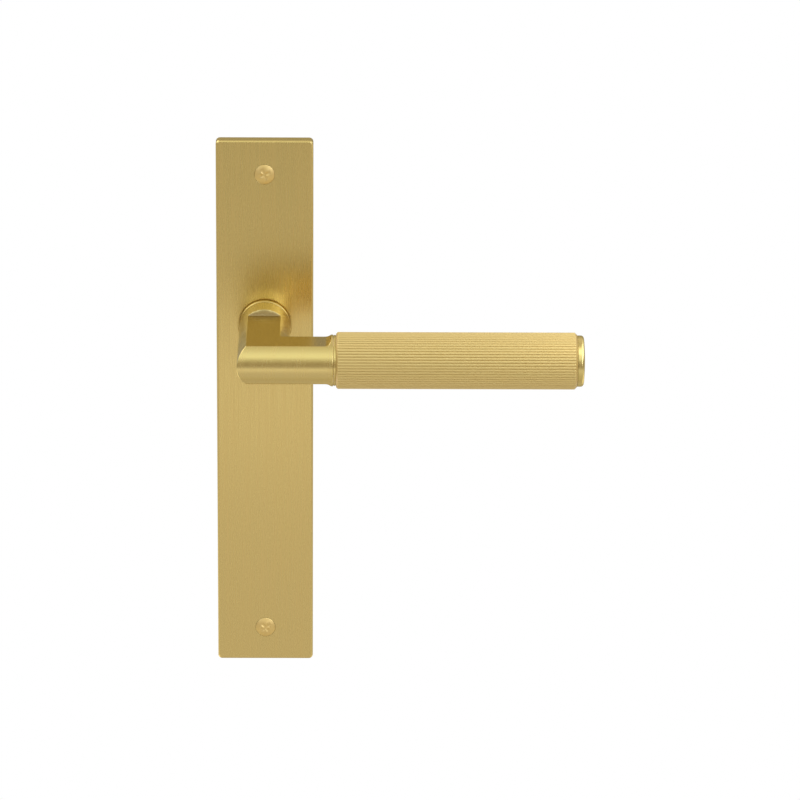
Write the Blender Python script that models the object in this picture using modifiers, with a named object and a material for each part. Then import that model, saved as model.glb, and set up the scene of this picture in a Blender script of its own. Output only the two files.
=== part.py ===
"""Lever handle on a long backplate, one side of a door, as it comes apart on a bench.

Units are metres. The origin is the centre of the plate's back face, which lies on the door.
+X runs along the lever, +Y goes into the door and +Z is up. A stand is a distance in front of
the door's face, so a point with stand s is at y = -s. Pieces on the spindle's axis are drawn
as seen from the front: local X is right, local Y is up and local Z is the stand.
"""

import math

import bmesh
import bpy
from mathutils import Matrix, Vector

# Backplate
PLATE_WIDTH = 0.042
PLATE_HEIGHT = 0.238
PLATE_THICKNESS = 0.006
PLATE_CORNER_RADIUS = 0.0018
PLATE_EDGE_RADIUS = 0.0009
SPINDLE_HEIGHT = 0.0365
FIXING_HEIGHT = 0.104

# Pocket behind the plate, and its cover
POCKET_STAND = 0.0046
POCKET_RADIUS = 0.0168
COVER_RECESS = 0.0012
COVER_TOP = 0.00105
COVER_BOTTOM = 0.00005
COVER_RADIUS = 0.0178
COVER_EAR_RADIUS = 0.0052
COVER_EAR_HEIGHT = 0.021
COVER_HOLE_RADIUS = 0.0068

# Bearing
COLLAR_RADIUS = 0.01125
COLLAR_ROUND = 0.0008
COLLAR_FRONT = 0.0080
COLLAR_SEAT_STAND = 0.0053
COLLAR_HUB_RADIUS = 0.0095
COLLAR_BORE_RADIUS = 0.0082
BUSH_RADIUS = 0.0079
BUSH_BORE_RADIUS = 0.0072
BEARING_BACK = 0.00475
WASHER_STANDS = (0.00405, 0.00445)
WASHER_RADII = (0.0073, 0.0104)

# Lever
BAR_RADIUS = 0.011
NECK_BACK = 0.0083
LEVER_STAND = 0.0575
BAR_END = 0.0298
FLAT_HEIGHT = 0.0084
FLAT_START_STAND = 0.0204
FLAT_END = 0.0289
NECK_RUNOUT_RADIUS = 0.0006
GRIP_RUNOUT_RADIUS = 0.0026
TAIL_RADIUS = 0.007
TAIL_BACK = 0.0013
TAIL_FLAT = 0.0058
DRIVE_FRONT = 0.0040
CLIP_GROOVE = (0.0017, 0.0029)
CLIP_GROOVE_RADIUS = 0.0063

# Spindle and its screw
SPINDLE_SIDE = 0.008
SPINDLE_FRONT = 0.035
SPINDLE_BACK = -0.065
SOCKET_SIDE = 0.0083
SOCKET_FRONT = 0.0365
GRUB_STAND = 0.0145
GRUB_RADIUS = 0.0022
GRUB_HOLE_RADIUS = 0.0025
GRUB_DEPTHS = (0.0046, 0.0104)
GRUB_KEY_RADIUS = 0.0014
GRUB_KEY_DEPTH = 0.0025

# Grip
SPIGOT_RADIUS = 0.006
SPIGOT_LENGTH = 0.0077
RING_SPAN = (0.0300, 0.0308)
RING_RADIUS = 0.0108
GRIP_BORE_RADIUS = 0.0063
GRIP_SPAN = (0.0310, 0.1332)
GRIP_RADIUS = 0.0121
GRIP_CHAMFER = 0.0007
FLUTE_COUNT = 60
FLUTE_DEPTH = 0.0003
CAP_SPAN = (0.1334, 0.1365)
CAP_RADIUS = 0.0109
CAP_ROUND = 0.0017
ROD_SPAN = (0.0170, 0.1335)
ROD_RADIUS = 0.0029
ROD_HOLE_RADIUS = 0.0032
ROD_HOLE_SPAN = (0.0155, 0.1345)

# Return mechanism
CAM_STANDS = (0.0029, 0.0039)
CAM_HUB_RADIUS = 0.0109
CAM_ARM_RADIUS = 0.0158
CAM_ARM_HALF_WIDTH = 0.0032
CAM_ARM_ANGLE = 112.5
CAM_FIT = 0.0002
LUG_STANDS = (0.0015, 0.0034)
LUG_RADII = (0.0090, 0.0104)
LUG_ANGLE = -90.0
LUG_HALF_ANGLE = 9.0
LEVER_TRAVEL = 45.0
STOP_PIN_RADIUS = 0.0015
STOP_PIN_ORBIT = 0.0136
STOP_GAP = 0.0003
STOP_PIN_STANDS = (0.0030, 0.0053)
PIN_HOLE_TOP = 0.0055
PIN_FIT = 0.0003
CLIP_STANDS = (0.0019, 0.0027)
CLIP_RADII = (0.0065, 0.0084)
CLIP_OPENING = 50.0
SPRING_STANDS = (0.0013, 0.0026)
SPRING_STRIP = 0.00045
SPRING_TURNS = 2.375
SPRING_INNER_RADIUS = 0.0110
SPRING_GROWTH = 0.0020
SPRING_FLARE = 0.00285
SPRING_POINTS = 70
SPRING_HOOK_GAP = 3.5
SPRING_HOOK_RADIUS = 0.0092
ANCHOR_PIN_RADIUS = 0.0009
ANCHOR_PIN_ORBIT = 0.0144
ANCHOR_PIN_STANDS = (0.0013, 0.0053)
ANCHOR_PIN_BEHIND = 5.0

# Screws
FIXING_HEAD_RADIUS = 0.00435
FIXING_HEAD_RISE = 0.0008
FIXING_CONE_DEPTH = 0.0022
FIXING_SHANK_RADIUS = 0.002
FIXING_TIP = -0.026
FIXING_POINT_LENGTH = 0.006
COVER_SCREW_HEAD_RADIUS = 0.0026
COVER_SCREW_RADIUS = 0.0014
COVER_SCREW_STANDS = (0.00015, 0.0038)
SCREW_FIT = 0.0003
FIXING_DRIVE = {"width": 0.0009, "reach": 0.0020, "depth": 0.0010}
COVER_DRIVE = {"width": 0.0006, "reach": 0.0014, "depth": 0.0006}
DRIVE_TURN = 11.0

CLEAR = 0.002
MERGE = 0.000001
TURN_STEPS = 48
SMALL_STEPS = 24
PIN_STEPS = 16
FRONT_VIEW = Matrix.Rotation(math.radians(90.0), 4, "X")
ALONG_X = Matrix.Rotation(math.radians(90.0), 4, "Y")


# Scene, materials and placing


def clear_scene():
    for item in list(bpy.data.objects):
        bpy.data.objects.remove(item, do_unlink=True)


def add_collection(name):
    collection = bpy.data.collections.new(name)
    bpy.context.scene.collection.children.link(collection)
    return collection


clear_scene()
PARTS = add_collection("lever_handle_lockset")
CUTTERS = add_collection("cutters")
CUTTERS.hide_render = True


def add_material(name, colour, roughness, metallic):
    material = bpy.data.materials.new(name)
    material.use_nodes = True
    shader = material.node_tree.nodes["Principled BSDF"]
    shader.inputs["Base Color"].default_value = (*colour, 1.0)
    shader.inputs["Roughness"].default_value = roughness
    shader.inputs["Metallic"].default_value = metallic
    return material


def satin_brass(name):
    return add_material(name, (0.62, 0.45, 0.19), 0.38, 1.0)


def plain_steel(name):
    return add_material(name, (0.52, 0.52, 0.53), 0.35, 1.0)


def white_nylon(name):
    return add_material(name, (0.82, 0.80, 0.74), 0.55, 0.0)


def on_spindle_axis():
    return Matrix.Translation((0.0, 0.0, SPINDLE_HEIGHT)) @ FRONT_VIEW


def on_lever_axis():
    return Matrix.Translation((0.0, -LEVER_STAND, SPINDLE_HEIGHT)) @ ALONG_X


def at_height(height):
    return Matrix.Translation((0.0, 0.0, height)) @ FRONT_VIEW


def add_object(name, mesh, matrix, material=None):
    """A sub-part when it has a material, and a cutter when it has none."""
    item = bpy.data.objects.new(name, mesh)
    if material:
        PARTS.objects.link(item)
        mesh.materials.append(material)
    else:
        CUTTERS.objects.link(item)
        item.hide_render = True
        item.display_type = "WIRE"
    item.matrix_world = matrix
    return item


def add_boolean(item, other, operation="DIFFERENCE"):
    modifier = item.modifiers.new(f"{operation.lower()} {other.name}", "BOOLEAN")
    modifier.operation = operation
    modifier.solver = "EXACT"
    modifier.object = other


def smooth(item, angle=35.0):
    item.data.shade_smooth()
    item.data.set_sharp_from_angle(angle=math.radians(angle))


# Shapes


def arc(radius, start, end, count, centre=(0.0, 0.0)):
    """Points on an arc, in degrees anticlockwise from +X."""
    angles = [math.radians(start + (end - start) * step / count) for step in range(count + 1)]
    return [(centre[0] + radius * math.cos(a), centre[1] + radius * math.sin(a)) for a in angles]


def circle(radius, count=TURN_STEPS):
    return arc(radius, 0.0, 360.0, count)[:-1]


def turned_points(points, angle):
    spin = Matrix.Rotation(math.radians(angle), 2)
    return [tuple(spin @ Vector(point)) for point in points]


def turned(name, profile, matrix, material=None, closed=False, steps=TURN_STEPS):
    """A profile of (radius, height) pairs, down the outer side, turned about local Z."""
    mesh = bpy.data.meshes.new(name)
    points = [(radius, 0.0, height) for radius, height in profile]
    edges = [(i, i + 1) for i in range(len(points) - 1)]
    if closed:
        edges.append((len(points) - 1, 0))
    mesh.from_pydata(points, edges, [])
    item = add_object(name, mesh, matrix, material)
    screw = item.modifiers.new("turn", "SCREW")
    screw.axis = "Z"
    screw.steps = steps
    screw.render_steps = steps
    screw.use_merge_vertices = True
    screw.merge_threshold = MERGE
    screw.use_smooth_shade = True
    return item


def ring(name, radii, heights, matrix, material=None):
    inner, outer = radii
    low, high = heights
    profile = [(outer, high), (outer, low), (inner, low), (inner, high)]
    return turned(name, profile, matrix, material, closed=True)


def cylinder(name, radius, heights, matrix, material=None, steps=TURN_STEPS):
    low, high = heights
    profile = [(0.0, high), (radius, high), (radius, low), (0.0, low)]
    return turned(name, profile, matrix, material, steps=steps)


def block(name, low, high, matrix, material=None):
    mesh = bpy.data.meshes.new(name)
    shape = bmesh.new()
    low, high = Vector(low), Vector(high)
    size = high - low
    bmesh.ops.create_cube(shape, size=1.0)
    bmesh.ops.scale(shape, vec=size, verts=shape.verts)
    bmesh.ops.translate(shape, vec=(low + high) / 2, verts=shape.verts)
    shape.to_mesh(mesh)
    shape.free()
    return add_object(name, mesh, matrix, material)


def flat_piece(name, outlines, heights, matrix, material=None):
    """A plate from closed outlines: the first is its edge and the rest are its holes."""
    low, high = heights
    curve = bpy.data.curves.new(name, "CURVE")
    curve.dimensions = "2D"
    curve.fill_mode = "BOTH"
    curve.extrude = (high - low) / 2
    for outline in outlines:
        spline = curve.splines.new("POLY")
        spline.points.add(len(outline) - 1)
        for point, (x, y) in zip(spline.points, outline):
            point.co = (x, y, 0.0, 1.0)
        spline.use_cyclic_u = True
    helper = bpy.data.objects.new(name, curve)
    CUTTERS.objects.link(helper)
    graph = bpy.context.evaluated_depsgraph_get()
    mesh = bpy.data.meshes.new_from_object(helper.evaluated_get(graph))
    bpy.data.objects.remove(helper, do_unlink=True)
    shape = bmesh.new()
    shape.from_mesh(mesh)
    bmesh.ops.remove_doubles(shape, verts=shape.verts, dist=MERGE)
    bmesh.ops.translate(shape, vec=(0.0, 0.0, (low + high) / 2), verts=shape.verts)
    bmesh.ops.recalc_face_normals(shape, faces=shape.faces)
    shape.to_mesh(mesh)
    shape.free()
    mesh.materials.clear()
    return add_object(name, mesh, matrix, material)


def bevelled_edges(shape, wanted, width, segments):
    edges = [edge for edge in shape.edges if wanted(edge)]
    bmesh.ops.bevel(
        shape,
        geom=edges,
        offset=width,
        segments=segments,
        profile=0.5,
        affect="EDGES",
        clamp_overlap=False,
    )


# Backplate and what is fixed to it


def screw_hole_profile():
    head = FIXING_HEAD_RADIUS + SCREW_FIT
    shank = FIXING_SHANK_RADIUS + SCREW_FIT
    return [
        (0.0, PLATE_THICKNESS + CLEAR),
        (head, PLATE_THICKNESS + CLEAR),
        (head, PLATE_THICKNESS),
        (shank, PLATE_THICKNESS - FIXING_CONE_DEPTH),
        (shank, -CLEAR),
        (0.0, -CLEAR),
    ]


def pocket_profile():
    """From the front: the collar's seat, the hole for its hub, and the pocket behind."""
    seat = COLLAR_RADIUS + PIN_FIT
    hub = COLLAR_HUB_RADIUS + PIN_FIT
    return [
        (0.0, PLATE_THICKNESS + CLEAR),
        (seat, PLATE_THICKNESS + CLEAR),
        (seat, COLLAR_SEAT_STAND),
        (hub, COLLAR_SEAT_STAND),
        (hub, POCKET_STAND),
        (POCKET_RADIUS, POCKET_STAND),
        (POCKET_RADIUS, -CLEAR),
        (0.0, -CLEAR),
    ]


def cover_outline(gap):
    """A disc with an ear above and an ear below, grown by gap."""
    disc = COVER_RADIUS + gap
    ear = COVER_EAR_RADIUS + gap
    meet = math.degrees(math.acos(ear / disc))
    right = arc(disc, -meet, meet, 24)
    top = arc(ear, 0.0, 180.0, 10, (0.0, COVER_EAR_HEIGHT))
    left = arc(disc, 180.0 - meet, 180.0 + meet, 24)
    bottom = arc(ear, 180.0, 360.0, 10, (0.0, -COVER_EAR_HEIGHT))
    return right + top + left + bottom


def stop_pin_angle(side):
    """The stop pins stand either side of straight up, clear of the arm at each end of its travel."""
    reach = CAM_ARM_HALF_WIDTH + STOP_PIN_RADIUS + STOP_GAP
    beside_arm = math.degrees(math.asin(reach / STOP_PIN_ORBIT))
    return 90.0 + side * (LEVER_TRAVEL / 2 + beside_arm)


def spring_end_angle():
    return LUG_ANGLE - LUG_HALF_ANGLE + 360.0 * SPRING_TURNS


def anchor_pin_angle():
    return spring_end_angle() - ANCHOR_PIN_BEHIND


def polar(radius, angle):
    return (radius * math.cos(math.radians(angle)), radius * math.sin(math.radians(angle)))


def at_orbit(radius, angle):
    x, y = polar(radius, angle)
    return on_spindle_axis() @ Matrix.Translation((x, y, 0.0))


def make_backplate(material):
    mesh = bpy.data.meshes.new("backplate")
    shape = bmesh.new()
    bmesh.ops.create_cube(shape, size=1.0)
    bmesh.ops.scale(shape, vec=(PLATE_WIDTH, PLATE_HEIGHT, PLATE_THICKNESS), verts=shape.verts)
    bmesh.ops.translate(shape, vec=(0.0, 0.0, PLATE_THICKNESS / 2), verts=shape.verts)

    def upright(edge):
        a, b = edge.verts
        return abs(a.co.z - b.co.z) > PLATE_THICKNESS / 2

    def front_rim(edge):
        on_front = all(v.co.z > PLATE_THICKNESS - MERGE for v in edge.verts)
        return on_front and any(f.normal.z < 0.5 for f in edge.link_faces)

    bevelled_edges(shape, upright, PLATE_CORNER_RADIUS, 4)
    shape.normal_update()
    bevelled_edges(shape, front_rim, PLATE_EDGE_RADIUS, 3)
    shape.to_mesh(mesh)
    shape.free()
    plate = add_object("backplate", mesh, FRONT_VIEW, material)
    add_boolean(plate, turned("pocket_cutter", pocket_profile(), on_spindle_axis()))
    outline = cover_outline(PIN_FIT)
    recess = (-CLEAR, COVER_RECESS)
    add_boolean(plate, flat_piece("cover_cutter", [outline], recess, on_spindle_axis()))
    for name, side in (("upper", 1), ("lower", -1)):
        profile = screw_hole_profile()
        hole = turned(f"fixing_hole_{name}", profile, at_height(side * FIXING_HEIGHT), steps=SMALL_STEPS)
        add_boolean(plate, hole)
        tapped = COVER_SCREW_RADIUS + SCREW_FIT
        span = (0.0, COVER_SCREW_STANDS[1] + PIN_FIT)
        where = on_spindle_axis() @ Matrix.Translation((0.0, side * COVER_EAR_HEIGHT, 0.0))
        add_boolean(plate, cylinder(f"tapped_hole_{name}", tapped, span, where, steps=PIN_STEPS))
    span = (0.0, PIN_HOLE_TOP)
    for name, side in (("rest", 1), ("end", -1)):
        where = at_orbit(STOP_PIN_ORBIT, stop_pin_angle(side))
        wide = STOP_PIN_RADIUS + PIN_FIT
        add_boolean(plate, cylinder(f"{name}_pin_hole", wide, span, where, steps=PIN_STEPS))
    where = at_orbit(ANCHOR_PIN_ORBIT, anchor_pin_angle())
    wide = ANCHOR_PIN_RADIUS + PIN_FIT
    add_boolean(plate, cylinder("anchor_pin_hole", wide, span, where, steps=PIN_STEPS))
    smooth(plate)


def make_collar(material):
    """A flange in its seat in the plate, with a rounded rim, and a hub through the plate."""
    face_back = COLLAR_SEAT_STAND + PIN_FIT
    rim = (COLLAR_RADIUS - COLLAR_ROUND, COLLAR_FRONT - COLLAR_ROUND)
    front = arc(COLLAR_ROUND, 90.0, 0.0, 4, rim)
    profile = front + [
        (COLLAR_RADIUS, face_back),
        (COLLAR_HUB_RADIUS, face_back),
        (COLLAR_HUB_RADIUS, BEARING_BACK),
        (COLLAR_BORE_RADIUS, BEARING_BACK),
        (COLLAR_BORE_RADIUS, COLLAR_FRONT),
    ]
    turned("neck_collar", profile, on_spindle_axis(), material, closed=True)


def make_bearing(nylon):
    span = (BEARING_BACK, COLLAR_FRONT)
    ring("bearing_bush", (BUSH_BORE_RADIUS, BUSH_RADIUS), span, on_spindle_axis(), nylon)
    ring("thrust_washer", WASHER_RADII, WASHER_STANDS, on_spindle_axis(), nylon)


def make_pins(material):
    for name, side in (("rest_stop_pin", 1), ("end_stop_pin", -1)):
        where = at_orbit(STOP_PIN_ORBIT, stop_pin_angle(side))
        cylinder(name, STOP_PIN_RADIUS, STOP_PIN_STANDS, where, material, steps=PIN_STEPS)
    where = at_orbit(ANCHOR_PIN_ORBIT, anchor_pin_angle())
    cylinder("spring_anchor_pin", ANCHOR_PIN_RADIUS, ANCHOR_PIN_STANDS, where, material, steps=PIN_STEPS)


def spring_radius(part):
    return SPRING_INNER_RADIUS + SPRING_GROWTH * part + SPRING_FLARE * part**6


def spring_path():
    """From a hook behind the cam's lug, round in a spiral, to a hook round the anchor pin."""
    start = LUG_ANGLE - LUG_HALF_ANGLE - SPRING_HOOK_GAP
    end = spring_end_angle()
    hook = [
        polar(SPRING_HOOK_RADIUS, start),
        polar(SPRING_HOOK_RADIUS + 0.0006, start),
        polar(SPRING_HOOK_RADIUS + 0.0012, start + 0.3),
    ]
    first = start + 3.0
    spiral = []
    for step in range(SPRING_POINTS + 1):
        part = step / SPRING_POINTS
        spiral.append(polar(spring_radius(part), first + (end - first) * part))
    outer = spring_radius(1.0)
    tail = [
        polar(outer - 0.0003, end + 2.0),
        polar(outer - 0.0010, end + 3.0),
        polar(outer - 0.0022, end + 3.0),
    ]
    return hook + spiral + tail


def make_return_spring(material):
    low, high = SPRING_STANDS
    mesh = bpy.data.meshes.new("return_spring")
    shape = bmesh.new()
    base = [shape.verts.new((x, y, low)) for x, y in spring_path()]
    top = [shape.verts.new((v.co.x, v.co.y, high)) for v in base]
    for i in range(len(base) - 1):
        shape.faces.new((base[i], base[i + 1], top[i + 1], top[i]))
    shape.to_mesh(mesh)
    shape.free()
    spring = add_object("return_spring", mesh, on_spindle_axis(), material)
    strip = spring.modifiers.new("strip", "SOLIDIFY")
    strip.thickness = SPRING_STRIP
    strip.offset = 0.0
    smooth(spring)


def make_cassette_cover(material):
    heights = (COVER_BOTTOM, COVER_TOP)
    outlines = [cover_outline(0.0), circle(COVER_HOLE_RADIUS)]
    cover = flat_piece("cassette_cover", outlines, heights, on_spindle_axis(), material)
    for name, side in (("upper", 1), ("lower", -1)):
        where = on_spindle_axis() @ Matrix.Translation((0.0, side * COVER_EAR_HEIGHT, 0.0))
        wide = COVER_SCREW_HEAD_RADIUS + SCREW_FIT
        narrow = COVER_SCREW_RADIUS + SCREW_FIT
        profile = [(0.0, CLEAR), (narrow, CLEAR), (narrow, COVER_TOP), (wide, 0.0)]
        profile += [(wide, -CLEAR), (0.0, -CLEAR)]
        add_boolean(cover, turned(f"cover_screw_hole_{name}", profile, where, steps=PIN_STEPS))
    smooth(cover)


def cross_cutter(name, drive, heights, matrix):
    """A cross-shaped recess, left at whatever turn the screw ends on."""
    h, a = drive["width"] / 2, drive["reach"]
    outline = [(a, -h), (a, h), (h, h), (h, a), (-h, a), (-h, h)]
    outline += [(-a, h), (-a, -h), (-h, -h), (-h, -a), (h, -a), (h, -h)]
    return flat_piece(name, [turned_points(outline, DRIVE_TURN)], heights, matrix)


def make_cover_screws(material):
    low, high = COVER_SCREW_STANDS
    for name, side in (("upper", 1), ("lower", -1)):
        where = on_spindle_axis() @ Matrix.Translation((0.0, side * COVER_EAR_HEIGHT, 0.0))
        profile = [(0.0, high), (COVER_SCREW_RADIUS, high), (COVER_SCREW_RADIUS, COVER_TOP)]
        profile += [(COVER_SCREW_HEAD_RADIUS, low), (0.0, low)]
        screw = turned(f"cover_screw_{name}", profile, where, material, steps=PIN_STEPS)
        recess = (-CLEAR, low + COVER_DRIVE["depth"])
        cutter = cross_cutter(f"cover_drive_{name}", COVER_DRIVE, recess, where)
        add_boolean(screw, cutter)
        smooth(screw)


def make_fixing_screws(material):
    """Raised countersunk wood screws with a cross recess."""
    face = PLATE_THICKNESS
    crown = []
    for part in (0.0, 0.35, 0.65, 0.88, 1.0):
        crown.append((FIXING_HEAD_RADIUS * part, face + FIXING_HEAD_RISE * (1.0 - part**2)))
    profile = crown + [
        (FIXING_SHANK_RADIUS, face - FIXING_CONE_DEPTH),
        (FIXING_SHANK_RADIUS, FIXING_TIP + FIXING_POINT_LENGTH),
        (0.0, FIXING_TIP),
    ]
    top = face + FIXING_HEAD_RISE + CLEAR
    recess = (face - FIXING_DRIVE["depth"], top)
    for name, side in (("upper", 1), ("lower", -1)):
        where = at_height(side * FIXING_HEIGHT)
        screw = turned(f"fixing_screw_{name}", profile, where, material, steps=SMALL_STEPS)
        cutter = cross_cutter(f"fixing_drive_{name}", FIXING_DRIVE, recess, where)
        add_boolean(screw, cutter)
        smooth(screw)


# Lever and what turns with it


def flat_cutter(name, side):
    """Cuts the flat above (side 1) or below (side -1), with a rounded run-out at each end."""
    low_height, high_height = FLAT_HEIGHT, BAR_RADIUS + CLEAR
    reach = BAR_RADIUS + CLEAR
    mesh = bpy.data.meshes.new(name)
    shape = bmesh.new()
    bmesh.ops.create_cube(shape, size=1.0)
    low = Vector((-reach, low_height, FLAT_START_STAND))
    high = Vector((FLAT_END, high_height, LEVER_STAND + reach))
    bmesh.ops.scale(shape, vec=high - low, verts=shape.verts)
    bmesh.ops.translate(shape, vec=(low + high) / 2, verts=shape.verts)

    def floor_edge(edge, axis, value):
        on_floor = all(abs(v.co.y - low_height) < MERGE for v in edge.verts)
        return on_floor and all(abs(v.co[axis] - value) < MERGE for v in edge.verts)

    bevelled_edges(shape, lambda e: floor_edge(e, 0, FLAT_END), GRIP_RUNOUT_RADIUS, 6)
    bevelled_edges(shape, lambda e: floor_edge(e, 2, FLAT_START_STAND), NECK_RUNOUT_RADIUS, 3)
    if side < 0:
        bmesh.ops.scale(shape, vec=(1.0, -1.0, 1.0), verts=shape.verts)
        bmesh.ops.reverse_faces(shape, faces=shape.faces)
    shape.to_mesh(mesh)
    shape.free()
    return add_object(name, mesh, on_spindle_axis())


def mitred_bar():
    """A round bar that comes forward from the plate and turns right at a 45 degree mitre."""
    mesh = bpy.data.meshes.new("lever_neck")
    shape = bmesh.new()
    bmesh.ops.create_cone(
        shape,
        cap_ends=True,
        segments=TURN_STEPS,
        radius1=BAR_RADIUS,
        radius2=BAR_RADIUS,
        depth=LEVER_STAND - NECK_BACK,
        matrix=Matrix.Translation((0.0, 0.0, (LEVER_STAND + NECK_BACK) / 2)),
    )
    shape.faces.ensure_lookup_table()
    front = max(shape.faces, key=lambda face: face.calc_center_median().z)
    for vert in front.verts:
        vert.co.z = LEVER_STAND - vert.co.x
    made = bmesh.ops.extrude_face_region(shape, geom=[front])
    for vert in made["geom"]:
        if isinstance(vert, bmesh.types.BMVert):
            vert.co.x = BAR_END
    bmesh.ops.delete(shape, geom=[front], context="FACES_ONLY")
    bmesh.ops.recalc_face_normals(shape, faces=shape.faces)
    shape.to_mesh(mesh)
    shape.free()
    return mesh


def tail_profile():
    low, high = CLIP_GROOVE
    return [
        (0.0, NECK_BACK + 0.004),
        (TAIL_RADIUS, NECK_BACK + 0.004),
        (TAIL_RADIUS, high),
        (CLIP_GROOVE_RADIUS, high),
        (CLIP_GROOVE_RADIUS, low),
        (TAIL_RADIUS, low),
        (TAIL_RADIUS, TAIL_BACK),
        (0.0, TAIL_BACK),
    ]


def make_lever_neck(material):
    neck = add_object("lever_neck", mitred_bar(), on_spindle_axis(), material)
    add_boolean(neck, flat_cutter("flat_cutter_above", 1))
    add_boolean(neck, flat_cutter("flat_cutter_below", -1))
    add_boolean(neck, turned("neck_tail", tail_profile(), on_spindle_axis()), "UNION")
    span = (BAR_END - 0.004, BAR_END + SPIGOT_LENGTH)
    add_boolean(neck, cylinder("neck_spigot", SPIGOT_RADIUS, span, on_lever_axis()), "UNION")
    half = SOCKET_SIDE / 2
    low = (-half, -half, -CLEAR)
    high = (half, half, SOCKET_FRONT)
    add_boolean(neck, block("spindle_socket", low, high, on_spindle_axis()))
    for name, side in (("right", 1), ("left", -1)):
        near, far = sorted((side * TAIL_FLAT, side * (TAIL_RADIUS + CLEAR)))
        low = (near, -TAIL_RADIUS - CLEAR, -CLEAR)
        high = (far, TAIL_RADIUS + CLEAR, DRIVE_FRONT)
        add_boolean(neck, block(f"drive_flat_{name}", low, high, on_spindle_axis()))
    down = on_spindle_axis() @ Matrix.Translation((0.0, 0.0, GRUB_STAND)) @ FRONT_VIEW
    span = (0.0, BAR_RADIUS + CLEAR)
    add_boolean(neck, cylinder("grub_hole", GRUB_HOLE_RADIUS, span, down, steps=PIN_STEPS))
    span = (ROD_HOLE_SPAN[0], BAR_END + SPIGOT_LENGTH + CLEAR)
    add_boolean(neck, cylinder("rod_hole", ROD_HOLE_RADIUS, span, on_lever_axis(), steps=SMALL_STEPS))
    smooth(neck)


def make_spindle(material):
    half = SPINDLE_SIDE / 2
    low = (-half, -half, SPINDLE_BACK)
    high = (half, half, SPINDLE_FRONT)
    block("spindle", low, high, on_spindle_axis(), material)


def make_grub_screw(material):
    down = on_spindle_axis() @ Matrix.Translation((0.0, 0.0, GRUB_STAND)) @ FRONT_VIEW
    screw = cylinder("spindle_grub_screw", GRUB_RADIUS, GRUB_DEPTHS, down, material, steps=PIN_STEPS)
    outer = GRUB_DEPTHS[1]
    span = (outer - GRUB_KEY_DEPTH, outer + CLEAR)
    add_boolean(screw, cylinder("grub_key_socket", GRUB_KEY_RADIUS, span, down, steps=6))
    smooth(screw)


def fluted_outline():
    """Wide ridges with narrow grooves between them."""
    pitch = 360.0 / FLUTE_COUNT
    points = []
    for index in range(FLUTE_COUNT):
        centre = index * pitch
        points.append(polar(GRIP_RADIUS - FLUTE_DEPTH, centre - pitch / 2))
        points.append(polar(GRIP_RADIUS, centre - pitch * 0.28))
        points.append(polar(GRIP_RADIUS, centre + pitch * 0.28))
    return points


def make_grip_sleeve(material):
    low, high = GRIP_SPAN
    outlines = [fluted_outline(), circle(GRIP_BORE_RADIUS)]
    stock = (low - CLEAR, high + CLEAR)
    sleeve = flat_piece("grip_sleeve", outlines, stock, on_lever_axis(), material)
    end = GRIP_RADIUS - GRIP_CHAMFER
    wide = GRIP_RADIUS + CLEAR
    profile = [
        (0.0, high),
        (end, high),
        (wide, high - GRIP_CHAMFER - CLEAR),
        (wide, low + GRIP_CHAMFER + CLEAR),
        (end, low),
        (0.0, low),
    ]
    add_boolean(sleeve, turned("grip_envelope", profile, on_lever_axis()), "INTERSECT")
    smooth(sleeve, 50.0)


def make_grip_ends(material):
    bore = (GRIP_BORE_RADIUS, RING_RADIUS)
    ring("grip_spacer_ring", bore, RING_SPAN, on_lever_axis(), material)
    low, high = CAP_SPAN
    edge = arc(CAP_ROUND, 90.0, 0.0, 8, (CAP_RADIUS - CAP_ROUND, high - CAP_ROUND))
    spigot_back = low - SPIGOT_LENGTH
    hole_end = ROD_HOLE_SPAN[1]
    profile = [(0.0, high)] + edge + [
        (CAP_RADIUS, low),
        (SPIGOT_RADIUS, low),
        (SPIGOT_RADIUS, spigot_back),
        (ROD_HOLE_RADIUS, spigot_back),
        (ROD_HOLE_RADIUS, hole_end),
        (0.0, hole_end),
    ]
    turned("grip_end_cap", profile, on_lever_axis(), material)


def make_tie_rod(material):
    cylinder("grip_tie_rod", ROD_RADIUS, ROD_SPAN, on_lever_axis(), material, steps=SMALL_STEPS)


def double_d(radius, flat):
    half = math.degrees(math.acos(flat / radius))
    return arc(radius, half, 180.0 - half, 16) + arc(radius, 180.0 + half, 360.0 - half, 16)


def make_spring_cam(material):
    """A disc with one arm, driven by the tail's two flats, and a lug that holds the spring."""
    root = math.degrees(math.asin(CAM_ARM_HALF_WIDTH / CAM_HUB_RADIUS))
    tip = math.degrees(math.asin(CAM_ARM_HALF_WIDTH / CAM_ARM_RADIUS))
    hub = arc(CAM_HUB_RADIUS, 90.0 + root, 450.0 - root, 40)
    arm = arc(CAM_ARM_RADIUS, 90.0 - tip, 90.0 + tip, 5)
    edge = turned_points(hub + arm, CAM_ARM_ANGLE - 90.0)
    hole = double_d(TAIL_RADIUS + CAM_FIT, TAIL_FLAT + CAM_FIT)
    cam = flat_piece("spring_cam", [edge, hole], CAM_STANDS, on_spindle_axis(), material)
    inner, outer = LUG_RADII
    first, last = LUG_ANGLE - LUG_HALF_ANGLE, LUG_ANGLE + LUG_HALF_ANGLE
    outline = arc(outer, first, last, 4) + arc(inner, last, first, 4)
    add_boolean(cam, flat_piece("cam_lug", [outline], LUG_STANDS, on_spindle_axis()), "UNION")
    smooth(cam)


def make_circlip(material):
    inner, outer = CLIP_RADII
    half = CLIP_OPENING / 2
    outline = arc(outer, 90.0 + half, 450.0 - half, 30) + arc(inner, 450.0 - half, 90.0 + half, 30)
    clip = flat_piece("retaining_circlip", [outline], CLIP_STANDS, on_spindle_axis(), material)
    smooth(clip)


LEVER_NODES = (
    "lever_neck",
    "grip_spacer_ring",
    "grip_sleeve",
    "grip_end_cap",
    "grip_tie_rod",
    "spindle",
    "spindle_grub_screw",
    "spring_cam",
    "retaining_circlip",
)


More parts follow.
